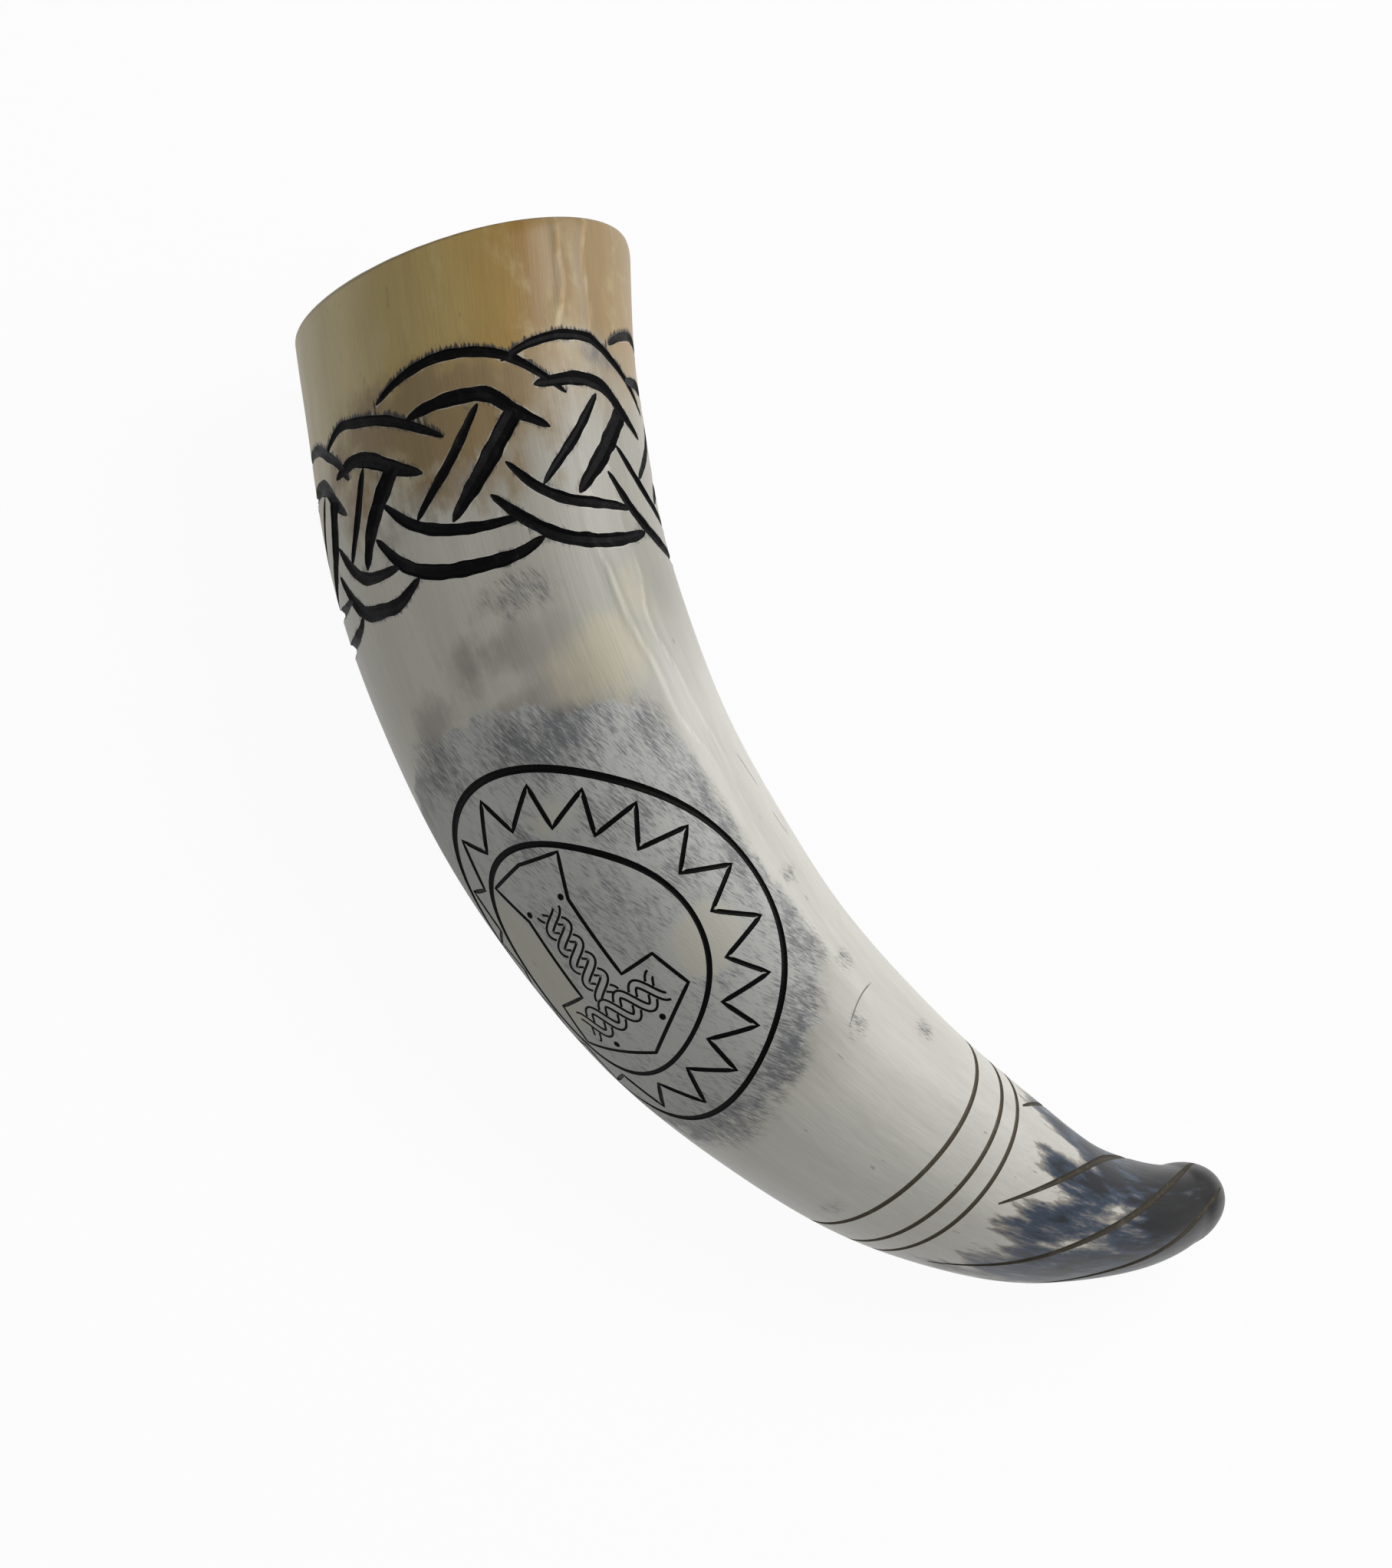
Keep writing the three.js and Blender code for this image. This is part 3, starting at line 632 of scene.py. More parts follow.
def woven_strands(start, end):
    """Two ribbons between two ends of a straight run, drawn by their edges. They swing from side to side and
    take turns to pass below, and the edges of the one below stop at the other."""
    start, end = np.array(start, float), np.array(end, float)
    across = np.array([start[1] - end[1], end[0] - start[0]]) / np.hypot(*(end - start))
    share = np.linspace(0, 1, 161)
    swing = STRAND_SWING * np.cos(share * STRAND_CROSSINGS * math.pi)[:, None] * across
    straight = start + (end - start) * share[:, None]
    middles = (straight + swing, straight - swing)
    lines = []
    for side, middle in enumerate(middles):
        heading = np.gradient(middle, axis=0)
        square = np.column_stack([-heading[:, 1], heading[:, 0]]) / np.hypot(*heading.T)[:, None]
        below = (np.floor(share * STRAND_CROSSINGS) + side) % 2 == 0
        for edge in (-STRAND_HALF, STRAND_HALF):
            path = middle + edge * square
            apart = np.sqrt(((path[:, None] - middles[1 - side][None]) ** 2).sum(-1)).min(1)
            hidden = below & (apart < STRAND_HALF + STRAND_GAP)
            breaks = np.flatnonzero(np.diff(hidden.astype(int))) + 1
            parts = np.split(np.arange(len(share)), breaks)
            lines += [path[part] for part in parts if len(part) > 2 and not hidden[part[0]]]
    return lines


head_middle = head_top + HAMMER_END_HEIGHT / 2 + STRAND_SWING / 2
strands = woven_strands((shaft_top + HAMMER_CAP_HEIGHT, 0), (head_middle - STRAND_SWING - STRAND_HALF, 0))
head_reach = HAMMER_HEAD_WIDTH / 2 - STRAND_MARGIN
strands += woven_strands((head_middle, -head_reach), (head_middle, head_reach))
strand_lines = [hammer_line(strand, STRAND_WIDTH) for strand in strands]
across_dot = np.linspace(-0.9, 0.9, 7)
for dot_along, dot_side in DOTS:
    dot = np.column_stack([dot_along + across_dot * DOT_WIDTH / 2, np.full(len(across_dot), dot_side)])
    strand_lines.append(hammer_line(dot, DOT_WIDTH * np.sqrt(1 - across_dot ** 2)))
scribe("medallion_strands", strand_lines, False, HAMMER_INK_FILM)


# Three rings turned into the horn below the medallion, each a shallow cut rubbed with brown-grey stain.
RING_PLACES = (233, 242.5, 248.5)
RING_WIDTH = 1.35
RING_LEAN = 3.6
RING_LEAN_TOWARDS = -45
RING_DEPTH_SHARE = 0.4
STAIN_FILM = 0.04
ring_stain = cut_colour("brown_grey_stain", (0.125, 0.106, 0.076), (0.26, 0.232, 0.18), 0.7)
for number, place in enumerate(RING_PLACES, 1):
    turns = np.linspace(0, 360, 120, endpoint=False)
    along = place + RING_LEAN * np.cos(np.radians(turns - RING_LEAN_TOWARDS))
    ring_line = np.column_stack([along, turns, np.full(len(turns), RING_WIDTH)])
    ring = cut_and_fill(f"tip_ring_{number}", [ring_line], True, RING_DEPTH_SHARE, ring_stain, STAIN_FILM)
    lay_down(ring, "stain", f"tip_ring_stain_{number}")


# Twisted cuts of the tip: six grooves that wind from below the last ring to the point, stained like the
# rings. The dark horn there shows through the stain.
TWIST_COUNT = 6
TWIST_START = 254
TWIST_END = TIP_END - 7.5
TWIST_PER_MM = -1.9
TWIST_FIRST = 42
TWIST_WIDTH = 1.9
TWIST_POINT_WIDTH = 0.5
TWIST_DEPTH_SHARE = 0.35
twist_stain = cut_colour("brown_grey_stain_on_dark_horn", (0.07, 0.06, 0.044), (0.17, 0.15, 0.118), 0.7)
for number in range(TWIST_COUNT):
    share = np.linspace(0, 1, 80)
    along = TWIST_START + (TWIST_END - TWIST_START) * share
    around = TWIST_FIRST + number * 360 / TWIST_COUNT + TWIST_PER_MM * (along - TWIST_START)
    width = TWIST_POINT_WIDTH + (TWIST_WIDTH - TWIST_POINT_WIDTH) * np.sin(np.pi * share) ** 0.5
    twist_line = np.column_stack([along, around, width])
    twist_name = f"tip_twist_{number + 1}"
    twist = cut_and_fill(twist_name, [twist_line], False, TWIST_DEPTH_SHARE, twist_stain, STAIN_FILM)
    lay_down(twist, "stain", f"tip_twist_stain_{number + 1}")


# Sealing coat inside the hollow: clear gloss varnish flooded into the horn and poured out, so that it can
# hold drink. It stops a little below the rim and shows the amber inside of the horn.
LINING_BELOW_RIM = 4
LINING_CLEARANCE = 0.35
LINING_THICKNESS = 0.8
LINING_AMBER = (0.36, 0.21, 0.065)
LINING_BROWN = (0.2, 0.105, 0.028)
LINING_STREAK = (0.46, 0.33, 0.15)


def mark_straight(mesh):
    """Keeps where each point lies on the horn as if it were straight: across it two ways, and along it."""
    along, around, radius = horn_places(mesh_points(mesh))
    straight = np.stack([radius * np.sin(around), radius * np.cos(around), along], 1) * MM
    mesh.attributes.new("straight", "FLOAT_VECTOR", "POINT").data.foreach_set("vector", straight.ravel())
    return along, around, radius


# Horn fibre: long streaks that follow the horn's length, in broad bands and in fine hairs.
horn_fibre = bpy.data.node_groups.new("horn_fibre", "ShaderNodeTree")
horn_fibre.interface.new_socket("Place", in_out="INPUT", socket_type="NodeSocketVector")
for socket_name in ("Bands", "Streaks", "Hairs"):
    horn_fibre.interface.new_socket(socket_name, in_out="OUTPUT", socket_type="NodeSocketFloat")
given = node(horn_fibre, "NodeGroupInput")
result = node(horn_fibre, "NodeGroupOutput")
fibres = (("Bands", 0.12, 130, 3), ("Streaks", 0.07, 420, 4), ("Hairs", 0.03, 1900, 3))
for socket_name, share, scale, detail in fibres:
    streaked = noise(horn_fibre, stretched(horn_fibre, given.outputs["Place"], share), scale, detail, 0.6)
    horn_fibre.links.new(streaked, result.inputs[socket_name])

lining_finish = bpy.data.materials.new("amber_sealing_coat")
lining_finish.use_nodes = True
tree = lining_finish.node_tree
shader = tree.nodes["Principled BSDF"]
place = node(tree, "ShaderNodeAttribute", attribute_name="straight").outputs["Vector"]
fibre = node(tree, "ShaderNodeGroup", node_tree=horn_fibre)
tree.links.new(place, fibre.inputs["Place"])
amber = mix(tree, smooth_step(tree, fibre.outputs["Bands"], 0.35, 0.7), LINING_AMBER, LINING_BROWN)
amber = mix(tree, smooth_step(tree, fibre.outputs["Streaks"], 0.55, 0.75), amber, LINING_STREAK)
tree.links.new(amber, shader.inputs["Base Color"])
gloss = maths(tree, "MULTIPLY_ADD", fibre.outputs["Streaks"], 0.12, 0.1)
tree.links.new(gloss, shader.inputs["Roughness"])
shader.inputs["Coat Weight"].default_value = 0.6
shader.inputs["Coat Roughness"].default_value = 0.06

along, around, radius = horn_places(mesh_points(horn_shell.data))
coated = (radius < (bore_radius(along) + outside_radius(along)) / 2) & (along < BORE_DEPTH + 1)
coated &= below_rim(along, around, radius) > LINING_BELOW_RIM
coated_faces = [all(coated[i] for i in face.vertices) for face in horn_shell.data.polygons]
make_active(horn_shell)
lining = copied_faces("sealing_coat", coated_faces, lining_finish)
along, around, radius = horn_places(mesh_points(lining.data))
set_mesh_points(lining.data, horn_point(along, around, np.maximum(0, radius - LINING_CLEARANCE)))
coat = lining.modifiers.new("coat", "SOLIDIFY")
coat.thickness = LINING_THICKNESS * MM
coat.offset = 1
bpy.ops.object.modifier_apply(modifier="coat")
bpy.ops.object.shade_smooth_by_angle(angle=math.radians(40))
mark_straight(lining.data)
lay_down(lining, "lining", "inner_lining")


# Surface of the horn shell: ochre at the sawn mouth, clouded grey and cream lower down, ivory by the rings,
# and slate streaks that run into a charcoal tip. The belly is scraped to a frosted grey round the medallion.
TAN = (0.4, 0.272, 0.122)
OCHRE = (0.33, 0.183, 0.032)
AMBER = (0.42, 0.285, 0.085)
OLIVE = (0.5, 0.385, 0.15)
PALE_OLIVE = (0.6, 0.5, 0.26)
BROWN_CLOUD = (0.285, 0.2, 0.09)
GREY_CREAM = (0.64, 0.62, 0.535)
DULL_CREAM = (0.44, 0.423, 0.365)
TAUPE = (0.385, 0.36, 0.32)
YELLOW_CREAM = (0.57, 0.52, 0.37)
IVORY = (0.73, 0.715, 0.65)
FROST_PALE = (0.58, 0.585, 0.56)
CLEAN_CREAM = (0.63, 0.615, 0.53)
FROST_DARK = (0.14, 0.145, 0.155)
SLATE = (0.046, 0.068, 0.108)
DARK_SLATE = (0.012, 0.0155, 0.0205)
CHARCOAL = (0.0075, 0.0074, 0.007)
BROWN_STREAK = (0.19, 0.145, 0.1)
INK_SMEAR = (0.03, 0.027, 0.024)
RIM_STAIN = (0.12, 0.09, 0.05)
FROST_ALONG = 150.5
FROST_AROUND = 76
FROST_HALF_LENGTH = 44.5
FROST_HALF_WIDTH = 45
FAR = 20

# Soft clouds in the horn, each as (along, around in degrees, half length, half width, strength).
CLOUDS = {
    "brown_cloud": [
        (46, 52, 17, 30, 1), (40, 25, 10, 12, 0.7), (57, 88, 12, 14, 0.6), (60, 50, 11, 24, 0.7),
        (48, 97, 12, 9, 0.6),
    ],
    "grey_cloud": [
        (87, 42, 6, 13, 0.8), (95, 42, 7, 16, 1), (96, 66, 9, 8, 0.8), (102, 84, 9, 9, 0.9),
        (108, 52, 6, 18, 0.9), (29, -12, 8, 15, 0.6), (66, 70, 10, 16, 0.7), (62, 45, 8, 12, 0.6),
    ],
    "yellow_cloud": [(103, 17, 11, 12, 1), (92, 0, 10, 8, 0.6)],
    "dirt_cloud": [
        (121, 14, 9, 6, 0.9), (114, 52, 5, 18, 0.9), (107, 96, 5, 9, 0.9), (145, 6, 22, 5, 0.7),
        (177, 7, 9, 6, 1), (187, 25, 6, 9, 0.7), (192, 49, 5, 9, 1), (196, 84, 5, 16, 1),
        (196, 112, 5, 10, 0.9), (134, 35, 6, 12, 0.7), (165, -10, 2.5, 4, 0.7), (189, -5, 3.5, 3.5, 0.8),
        (200, 14, 3.5, 4, 0.9), (217, -12, 4, 4, 0.7), (86, 40, 5, 9, 1), (225, 91, 3, 6, 0.6),
        (31, -14, 4, 9, 0.8), (128, 77, 6, 8, 0.8), (132, 48, 6, 9, 0.8), (150, 31, 6, 7, 0.8),
        (151, 60, 9, 8, 0.6), (149, 92, 8, 6, 0.5), (116, 37, 5, 8, 0.6),
    ],
    "clean_patch": [(163, 38, 7, 9, 1), (150, 106, 16, 9, 0.9), (128, 60, 6, 12, 0.5)],
    "slate_cloud": [
        (270, -26, 10, 5, 1), (282, -24, 9, 5, 1), (268, 5, 10, 4.5, 1), (281, 4, 9, 4, 1),
        (270, 38, 11, 5.5, 1), (266, 49, 9, 4.5, 1), (272, 67, 9, 5, 1), (283, 65, 8, 4.5, 0.9),
        (268, 83, 13, 6, 0.9), (258, 97, 12, 5, 0.6), (282, 82, 9, 5, 0.8), (280, 17, 9, 4, 0.45),
        (262, -32, 8, 6, 0.9), (289, -12, 9, 4.5, 0.9), (309, 22, 7, 5, 1), (251, 95, 9, 4, 0.35),
    ],
    "pale_streak": [
        (270, -10, 9, 3, 1), (266, 24, 8, 4, 0.7), (291, 24, 6, 3, 0.8), (299, 20, 5, 2, 0.7),
        (280, 53, 7, 3, 1), (287, 47, 6, 2.5, 0.7), (301, 34, 5, 2.5, 0.7),
    ],
}


def keep_on_shell(name, values):
    horn_shell.data.attributes.new(name, "FLOAT", "POINT").data.foreach_set("value", values)


along, around, radius = mark_straight(horn_shell.data)
points = mesh_points(horn_shell.data)
for cloud_name, spots in CLOUDS.items():
    inside_cloud = np.zeros(len(along))
    for spot_along, spot_around, half_length, half_width, strength in spots:
        across = arc_from(spot_around, around, outside_radius(along))
        reach = ((along - spot_along) / half_length) ** 2 + (across / half_width) ** 2
        inside_cloud = np.maximum(inside_cloud, strength * np.exp(-reach))
    keep_on_shell(cloud_name, inside_cloud)
keep_on_shell("ridge_gap", ridge_gap(along, around) * MM)
keep_on_shell("ridge_height", ridge_height(along))
keep_on_shell("rim_gap", below_rim(along, around, radius) * MM)

# Hair scratches, each as (along, around in degrees) of both ends and how far it bows. Points keep how far
# along each they lie, as a share of it, and how far off it.
HAIR_SCRATCHES = [(133.5, -22, 146, -27, 0.2), (151, -26, 160, -28.5, -0.3), (198.5, -10, 199, 20, -1.8)]
for number, (start_along, start_around, end_along, end_around, bow) in enumerate(HAIR_SCRATCHES):
    girth = outside_radius(np.array([start_along, end_along])).mean()
    across = arc_from(start_around, around, girth)
    run = end_along - start_along
    rise = math.radians(end_around - start_around) * girth
    reach = math.hypot(run, rise)
    share = ((along - start_along) * run + across * rise) / reach ** 2
    off = ((along - start_along) * rise - across * run) / reach - 4 * bow * share * (1 - share)
    keep_on_shell(f"scratch_share_{number}", share)
    keep_on_shell(f"scratch_gap_{number}", off * MM)

# Distance from the edge of the frosted patch, and from the inked cuts of the plait, in metres.
to_tip = (along - FROST_ALONG) / FROST_HALF_LENGTH
round_belly = arc_from(FROST_AROUND, around, outside_radius(along)) / FROST_HALF_WIDTH
squarish = (np.abs(to_tip) ** 3 + np.abs(round_belly) ** 3) ** (1 / 3)
keep_on_shell("frost_gap", FROST_HALF_WIDTH * (squarish - 1) * MM)
outside_band = np.flatnonzero((along > -2) & (along < 105) & (radius > outside_radius(along) - 2))


def gap_to_lines(lines):
    """How far each point lies from the nearest edge of inked lines, and if it is on the mouth's side."""
    spots = np.concatenate(lines)
    places = horn_point(spots[:, 0], np.radians(spots[:, 1]), outside_radius(spots[:, 0]))
    gap = np.full(len(points), float(FAR))
    above = np.zeros(len(points), bool)
    for part in np.array_split(outside_band, 40):
        apart = np.sqrt(((points[part][:, None] - places[None]) ** 2).sum(-1)) - spots[None, :, 2] / 2
        nearest = apart.argmin(1)
        gap[part] = np.clip(apart.min(1), 0, FAR)
        above[part] = along[part] < spots[nearest, 0]
    return gap, above


keep_on_shell("cut_gap", gap_to_lines(plait_lines)[0] * MM)
arc_gap, above_arc = gap_to_lines(plait_lines[::len(BAND_STROKES)])
keep_on_shell("arc_gap", np.where(above_arc, arc_gap, FAR) * MM)

horn_finish.use_nodes = True
tree = horn_finish.node_tree
shader = tree.nodes["Principled BSDF"]
place = node(tree, "ShaderNodeAttribute", attribute_name="straight").outputs["Vector"]
fibre = node(tree, "ShaderNodeGroup", node_tree=horn_fibre)
tree.links.new(place, fibre.inputs["Place"])
bands, streaks, hairs = fibre.outputs
split = node(tree, "ShaderNodeSeparateXYZ", {"Vector": place})
lengthwise = split.outputs["Z"]
sideways = node(tree, "ShaderNodeCombineXYZ", {"X": split.outputs["X"], "Y": split.outputs["Y"]})
facing = node(tree, "ShaderNodeVectorMath", {0: sideways.outputs["Vector"]}, operation="NORMALIZE")


def kept(name):
    return node(tree, "ShaderNodeAttribute", attribute_name=name).outputs["Fac"]


def towards(x, y):
    """How far a point of the horn lies towards a side: x is the belly and y the top."""
    inputs = {0: facing.outputs["Vector"], 1: (x, y, 0)}
    return node(tree, "ShaderNodeVectorMath", inputs, operation="DOT_PRODUCT").outputs["Value"]


def shifted(value, *shifts):
    """A value moved by others, each with its own share."""
    for other, share in shifts:
        value = maths(tree, "MULTIPLY_ADD", other, share, value)
    return value


def eased(value, low, high):
    return smooth_step(tree, value, low, high)


def times(first, *others):
    for other in others:
        first = maths(tree, "MULTIPLY", first, other)
    return first


def clouded(name, low, high):
    """Inside a kind of cloud, with an edge that wanders along the horn."""
    wandering = shifted(kept(name), (clouds, 1.0), (wisps, 1.2), (mottle, 0.4))
    near = eased(kept(name), 0.03, 0.25)
    return times(eased(wandering, low + 1.3, high + 1.3), near)


belly = towards(1, 0)
inner_top = towards(-0.766, 0.643)
clouds = noise(tree, place, 60, 5, 0.6, 0.3)
blotches = noise(tree, place, 21, 3)
mottle = noise(tree, place, 190, 5, 0.65)
drawn_out = stretched(tree, place, 0.3)
wisps = noise(tree, drawn_out, 120, 4, 0.6)

# Mouth: tan on the inner side, ochre on top, amber and then paler olive round the belly, faintly clouded.
around_mouth = shifted(maths(tree, "MULTIPLY_ADD", belly, 0.5, 0.37), (blotches, 0.16), (wisps, 0.1))
mouth_ramp = node(tree, "ShaderNodeValToRGB", {"Fac": around_mouth})
stops = mouth_ramp.color_ramp.elements
mouth_colours = [(0.45, TAN), (0.55, TAN), (0.65, OCHRE), (0.8, AMBER), (0.93, OLIVE), (1.0, PALE_OLIVE)]
for number, (spot, stop) in enumerate(mouth_colours):
    element = stops[number] if number < 2 else stops.new(spot)
    element.position = spot
    element.color = (*stop, 1)
pale_wisps = times(eased(shifted(clouds, (wisps, 0.7)), 0.84, 1.08), 0.55)
mouth = mix(tree, pale_wisps, mouth_ramp.outputs["Color"], PALE_OLIVE)

# Body: grey cream with clouds of brown, taupe and yellow.
mouth_end = shifted(lengthwise, (belly, -0.012), (blotches, 0.02), (wisps, 0.02))
cream = mix(tree, eased(shifted(belly, (wisps, 0.2)), 0.68, 1.02), DULL_CREAM, GREY_CREAM)
colour = mix(tree, eased(mouth_end, 0.045, 0.075), mouth, cream)
colour = mix(tree, clouded("brown_cloud", 0.3, 0.8), colour, BROWN_CLOUD)
colour = mix(tree, clouded("grey_cloud", 0.4, 0.9), colour, TAUPE)
colour = mix(tree, times(clouded("yellow_cloud", 0.2, 0.9), 0.8), colour, YELLOW_CREAM)

# Ivory: the clean strip on the inner side below the plait, and the whole horn near the rings.
strip = eased(shifted(inner_top, (wisps, 0.12)), 0.6, 0.76)
below_band = eased(shifted(lengthwise, (blotches, 0.03)), 0.1, 0.14)
colour = mix(tree, times(strip, below_band), colour, IVORY)
colour = mix(tree, eased(shifted(lengthwise, (blotches, 0.03)), 0.19, 0.225), colour, IVORY)

# Fibre: bands, streaks and hairs lighten and darken the colour along the horn.
banded = maths(tree, "MULTIPLY_ADD", bands, 0.24, 0.88)
streaked = maths(tree, "MULTIPLY_ADD", streaks, 0.2, 0.9)
hairy = maths(tree, "MULTIPLY_ADD", hairs, 0.22, 0.89)
shade = times(banded, streaked, hairy)
# Painted highlight on the ridge crests, partly paler worn horn, and painted shade at the ridges' feet.
ridge_crest_worn_and_highlight = eased(shifted(kept("ridge_gap"), (mottle, 0.0006)), 0.0013, 0.0006)
painted_shade_at_ridge_foot = eased(kept("ridge_gap"), 0.0036, 0.0016)
shade = shifted(shade, (times(ridge_crest_worn_and_highlight, kept("ridge_height")), 0.34))
shade = shifted(shade, (times(painted_shade_at_ridge_foot, kept("ridge_height")), -0.1))
shaded = node(tree, "ShaderNodeVectorMath", {0: colour, "Scale": shade}, operation="SCALE")
colour = shaded.outputs["Vector"]

# Frosted patch: a ragged edge and worn spots. Dirt is held in fine slanting scratches, there and in smudges.
slant = {"Vector": place, "Angle": times(lengthwise, -13)}
slanted = node(tree, "ShaderNodeVectorRotate", slant, rotation_type="Z_AXIS").outputs["Vector"]
scratches = noise(tree, stretched(tree, slanted, 0.16), 3000, 3, 0.6)
clusters = noise(tree, drawn_out, 430, 4, 0.65)
ragged = shifted(kept("frost_gap"), (mottle, 0.006), (clouds, 0.018))
frosted = eased(ragged, 0.013, 0.0115)
clean = eased(shifted(kept("clean_patch"), (clusters, 0.5), (clouds, 0.4)), 0.75, 1.0)
frost = mix(tree, clean, FROST_PALE, CLEAN_CREAM)
colour = mix(tree, times(frosted, 0.88), colour, frost)
outskirts = times(eased(ragged, -0.004, 0.01), frosted)
dirt_cloud = kept("dirt_cloud")
grit = shifted(scratches, (clusters, 0.6), (clouds, 0.5))
grit = shifted(grit, (dirt_cloud, 0.2), (outskirts, 0.06), (clean, -0.25))
grit = eased(grit, 1.02, 1.42)
soiled = maths(tree, "MAXIMUM", frosted, eased(dirt_cloud, 0.15, 0.6))
colour = mix(tree, times(soiled, grit, 0.9), colour, FROST_DARK)

# Tip: feathered slate streaks among ivory and brown, closing up into charcoal.
feathers = noise(tree, stretched(tree, place, 0.07), 480, 4, 0.55)
tip_start = eased(shifted(lengthwise, (wisps, 0.03)), 0.274, 0.322)
dark = shifted(tip_start, (kept("slate_cloud"), 1.0), (kept("pale_streak"), -0.75), (feathers, 2.3))
dark = shifted(dark, (streaks, 0.5), (hairs, 0.8))
dark = shifted(dark, (eased(lengthwise, 0.272, 0.24), -0.8))
colour = mix(tree, times(eased(dark, 1.75, 2.1), 0.6), colour, BROWN_STREAK)
slaty = eased(dark, 1.85, 2.6)
colour = mix(tree, slaty, colour, SLATE)
colour = mix(tree, eased(dark, 2.55, 3.1), colour, DARK_SLATE)
tip_end = shifted(lengthwise, (feathers, 0.05), (streaks, 0.04))
charred = eased(tip_end, 0.336, 0.368)
colour = mix(tree, charred, colour, CHARCOAL)

# Wear: pale edges beside the cuts, partly fresh-cut horn and partly a painted highlight, and smudged ink
# beside them;
# ink smeared up past the upper arcs, a stained rim, specks, scuffs and hair scratches.
# Painted highlight, partly fresh-cut horn: a thin pale line along the edges of the plait's cuts.
fresh_cut_and_edge_highlight = eased(shifted(kept("cut_gap"), (mottle, 0.0012)), 0.0009, 0.0006)
colour = mix(tree, times(fresh_cut_and_edge_highlight, 0.35), colour, IVORY)
smear = eased(shifted(kept("arc_gap"), (hairs, -0.0045)), -0.0012, -0.0021)
colour = mix(tree, smear, colour, INK_SMEAR)
smudged = shifted(kept("cut_gap"), (hairs, -0.003), (mottle, -0.002))
smudged = times(eased(smudged, -0.002, -0.0028), eased(clouds, 0.42, 0.56), 0.75)
colour = mix(tree, smudged, colour, INK_SMEAR)
stained_rim = eased(shifted(kept("rim_gap"), (mottle, 0.0006)), 0.0011, 0.0006)
colour = mix(tree, times(stained_rim, 0.45), colour, RIM_STAIN)
specks = eased(noise(tree, drawn_out, 750, 2, 0.4), 0.735, 0.775)
specks = times(specks, maths(tree, "MULTIPLY_ADD", slaty, -0.4, 0.4))
colour = mix(tree, specks, colour, BROWN_CLOUD)
scuff = shifted(noise(tree, drawn_out, 40, 1), (hairs, 0.008))
scuff = maths(tree, "ABSOLUTE", maths(tree, "SUBTRACT", scuff, 0.504))
scuff = times(eased(scuff, 0.002, 0.0006), eased(mottle, 0.53, 0.62))
scuff = times(scuff, maths(tree, "MULTIPLY_ADD", slaty, -0.08, 0.08))
colour = mix(tree, scuff, colour, BROWN_CLOUD)
for number in range(len(HAIR_SCRATCHES)):
    share = kept(f"scratch_share_{number}")
    drawn = times(eased(share, 0, 0.2), eased(share, 1, 0.7))
    hair = eased(maths(tree, "ABSOLUTE", kept(f"scratch_gap_{number}")), 0.00024, 0.0001)
    colour = mix(tree, times(drawn, hair, 0.8), colour, INK_SMEAR)
tree.links.new(colour, shader.inputs["Base Color"])

satin = maths(tree, "MULTIPLY_ADD", streaks, 0.2, 0.3)
satin = shifted(satin, (frosted, 0.2), (charred, -0.04), (smear, 0.2))
tree.links.new(satin, shader.inputs["Roughness"])
shader.inputs["IOR"].default_value = 1.54
height = shifted(streaks, (hairs, 0.5))
height = shifted(height, (times(frosted, scratches), 0.8))
relief = node(tree, "ShaderNodeBump", {"Height": height, "Strength": 0.2, "Distance": 0.0004})
tree.links.new(relief.outputs["Normal"], shader.inputs["Normal"])

make_active(horn_shell)
bpy.ops.object.shade_smooth_by_angle(angle=math.radians(28))
lay_down(horn_shell, "horn", "horn_shell")


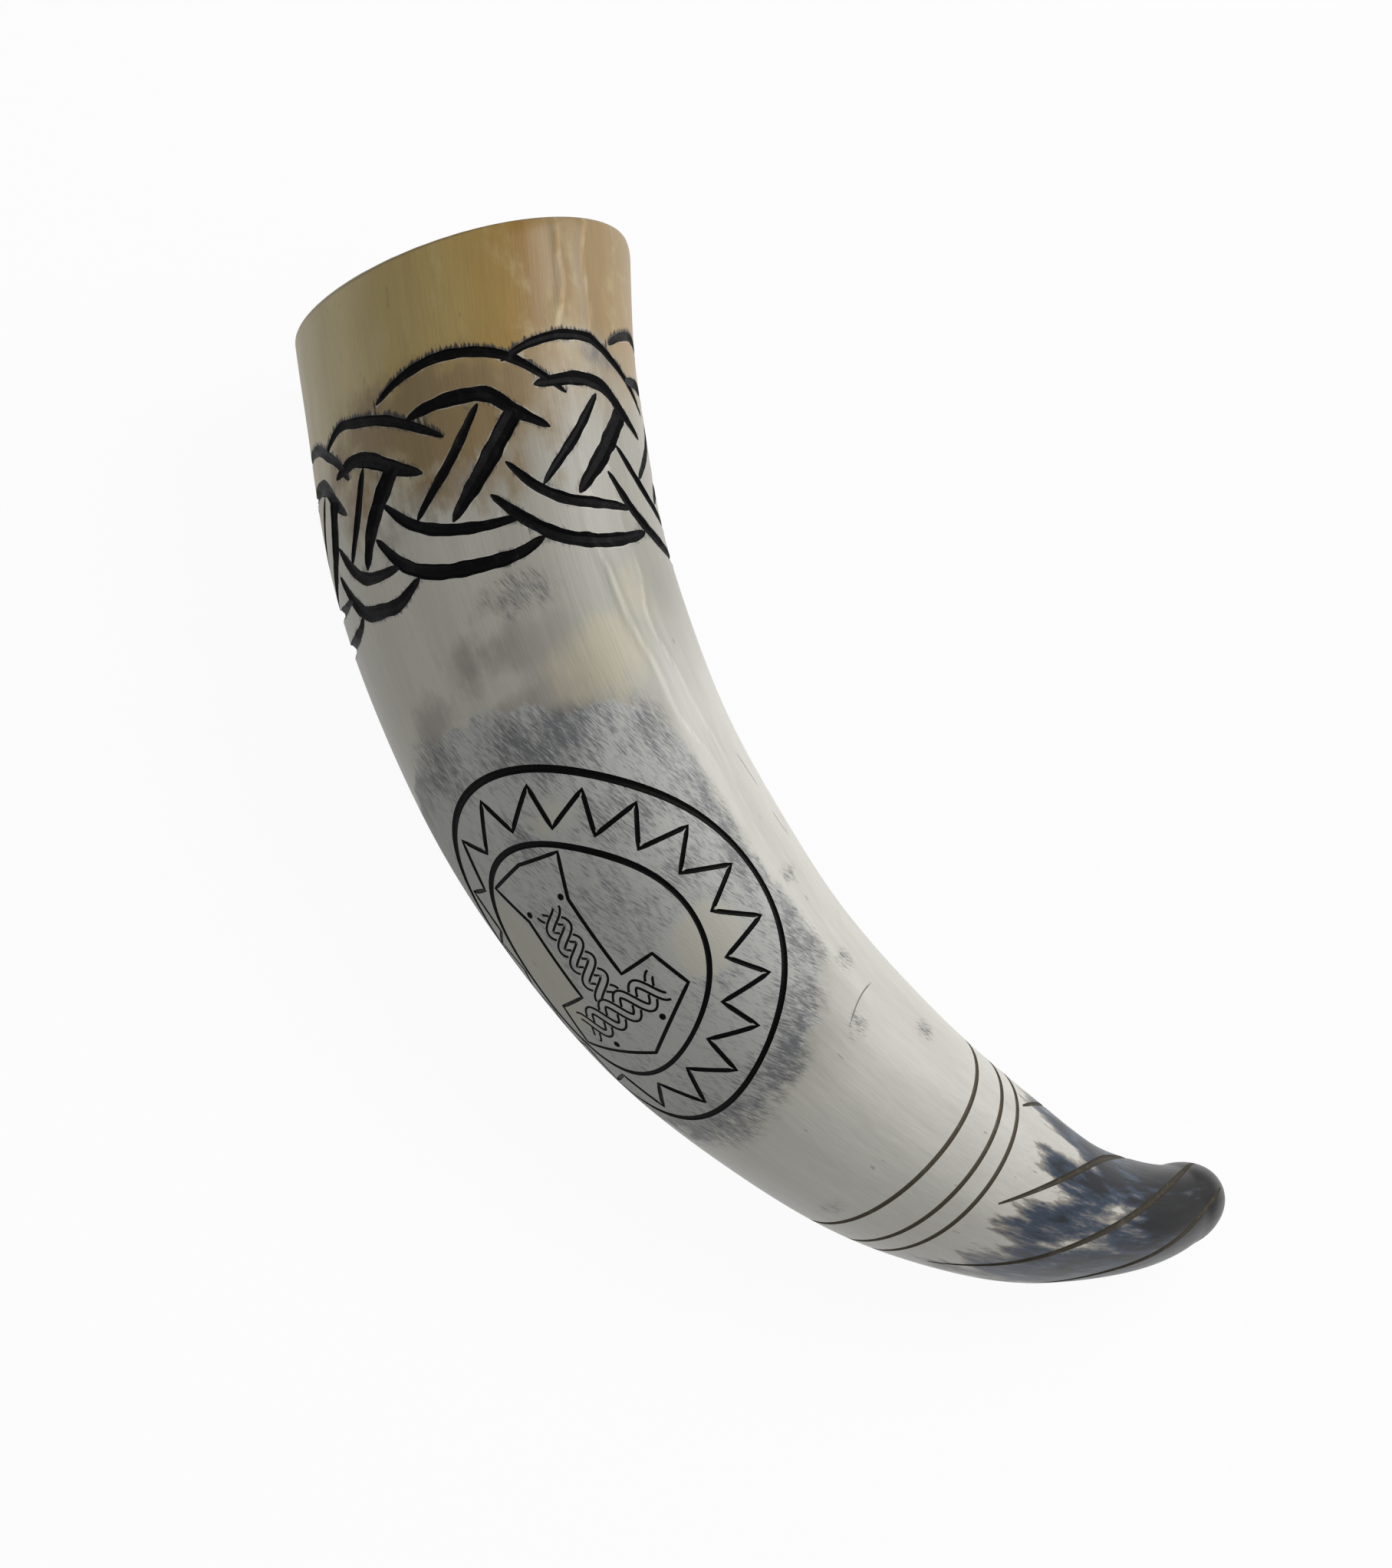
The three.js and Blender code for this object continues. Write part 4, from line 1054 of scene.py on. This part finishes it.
# Floor, light and camera: a pale sheet under a broad soft light from above, seen from above the belly with
# the picture turned so that the mouth is at the top.
bpy.ops.mesh.primitive_plane_add(size=6, location=(0, 0, -0.0005))
floor = bpy.context.object
floor.name = "pale_floor"
floor_finish = bpy.data.materials.new("pale_floor")
floor_finish.use_nodes = True
tree = floor_finish.node_tree
shader = tree.nodes["Principled BSDF"]
shader.inputs["Base Color"].default_value = (0.33, 0.33, 0.33, 1)
shader.inputs["Roughness"].default_value = 0.9
path = node(tree, "ShaderNodeLightPath")
seen = maths(tree, "MAXIMUM", path.outputs["Is Camera Ray"], path.outputs["Is Glossy Ray"])
seen = maths(tree, "MAXIMUM", seen, path.outputs["Is Transmission Ray"])
white = node(tree, "ShaderNodeEmission", {"Color": (1, 1, 1, 1), "Strength": 1.055})
plain = node(tree, "ShaderNodeMixShader", {"Fac": maths(tree, "MULTIPLY", seen, 0.9)})
tree.links.new(shader.outputs["BSDF"], plain.inputs[1])
tree.links.new(white.outputs["Emission"], plain.inputs[2])
tree.links.new(plain.outputs["Shader"], tree.nodes["Material Output"].inputs["Surface"])
floor.data.materials.append(floor_finish)

world = bpy.data.worlds.new("studio")
bpy.context.scene.world = world
world.use_nodes = True
tree = world.node_tree
seen = node(tree, "ShaderNodeLightPath").outputs["Is Camera Ray"]
backdrop = tree.nodes["Background"]
backdrop.inputs["Color"].default_value = (1, 1, 1, 1)
strength = node(tree, "ShaderNodeMapRange", {"Value": seen, "To Min": 0.36, "To Max": 1.0})
tree.links.new(strength.outputs["Result"], backdrop.inputs["Strength"])

softbox_place = Vector((0.05, 0.66, 0.94))
bpy.ops.object.light_add(type="AREA", location=softbox_place)
overhead = bpy.context.object
overhead.name = "overhead_softbox"
overhead.data.shape = "RECTANGLE"
overhead.data.size = 0.9
overhead.data.size_y = 0.7
overhead.data.energy = 7.7
overhead.rotation_euler = softbox_place.to_track_quat("Z", "Y").to_euler()

right = Vector((0.55456, 0.66478, 0.50052))
upward = Vector((-0.83052, 0.40463, 0.38277))
back = Vector((0.05193, -0.62797, 0.77651))
view = bpy.data.cameras.new("photo_view")
view.lens = 88
view.sensor_width = 36
view.clip_start = 0.01
camera = bpy.data.objects.new("photo_view", view)
camera.matrix_world = Matrix((right, upward, back)).transposed().to_4x4()
camera.location = (0.036601, -0.573166, 0.732146)
bpy.context.scene.collection.objects.link(camera)
bpy.context.scene.camera = camera
bpy.context.scene.view_settings.view_transform = "Standard"
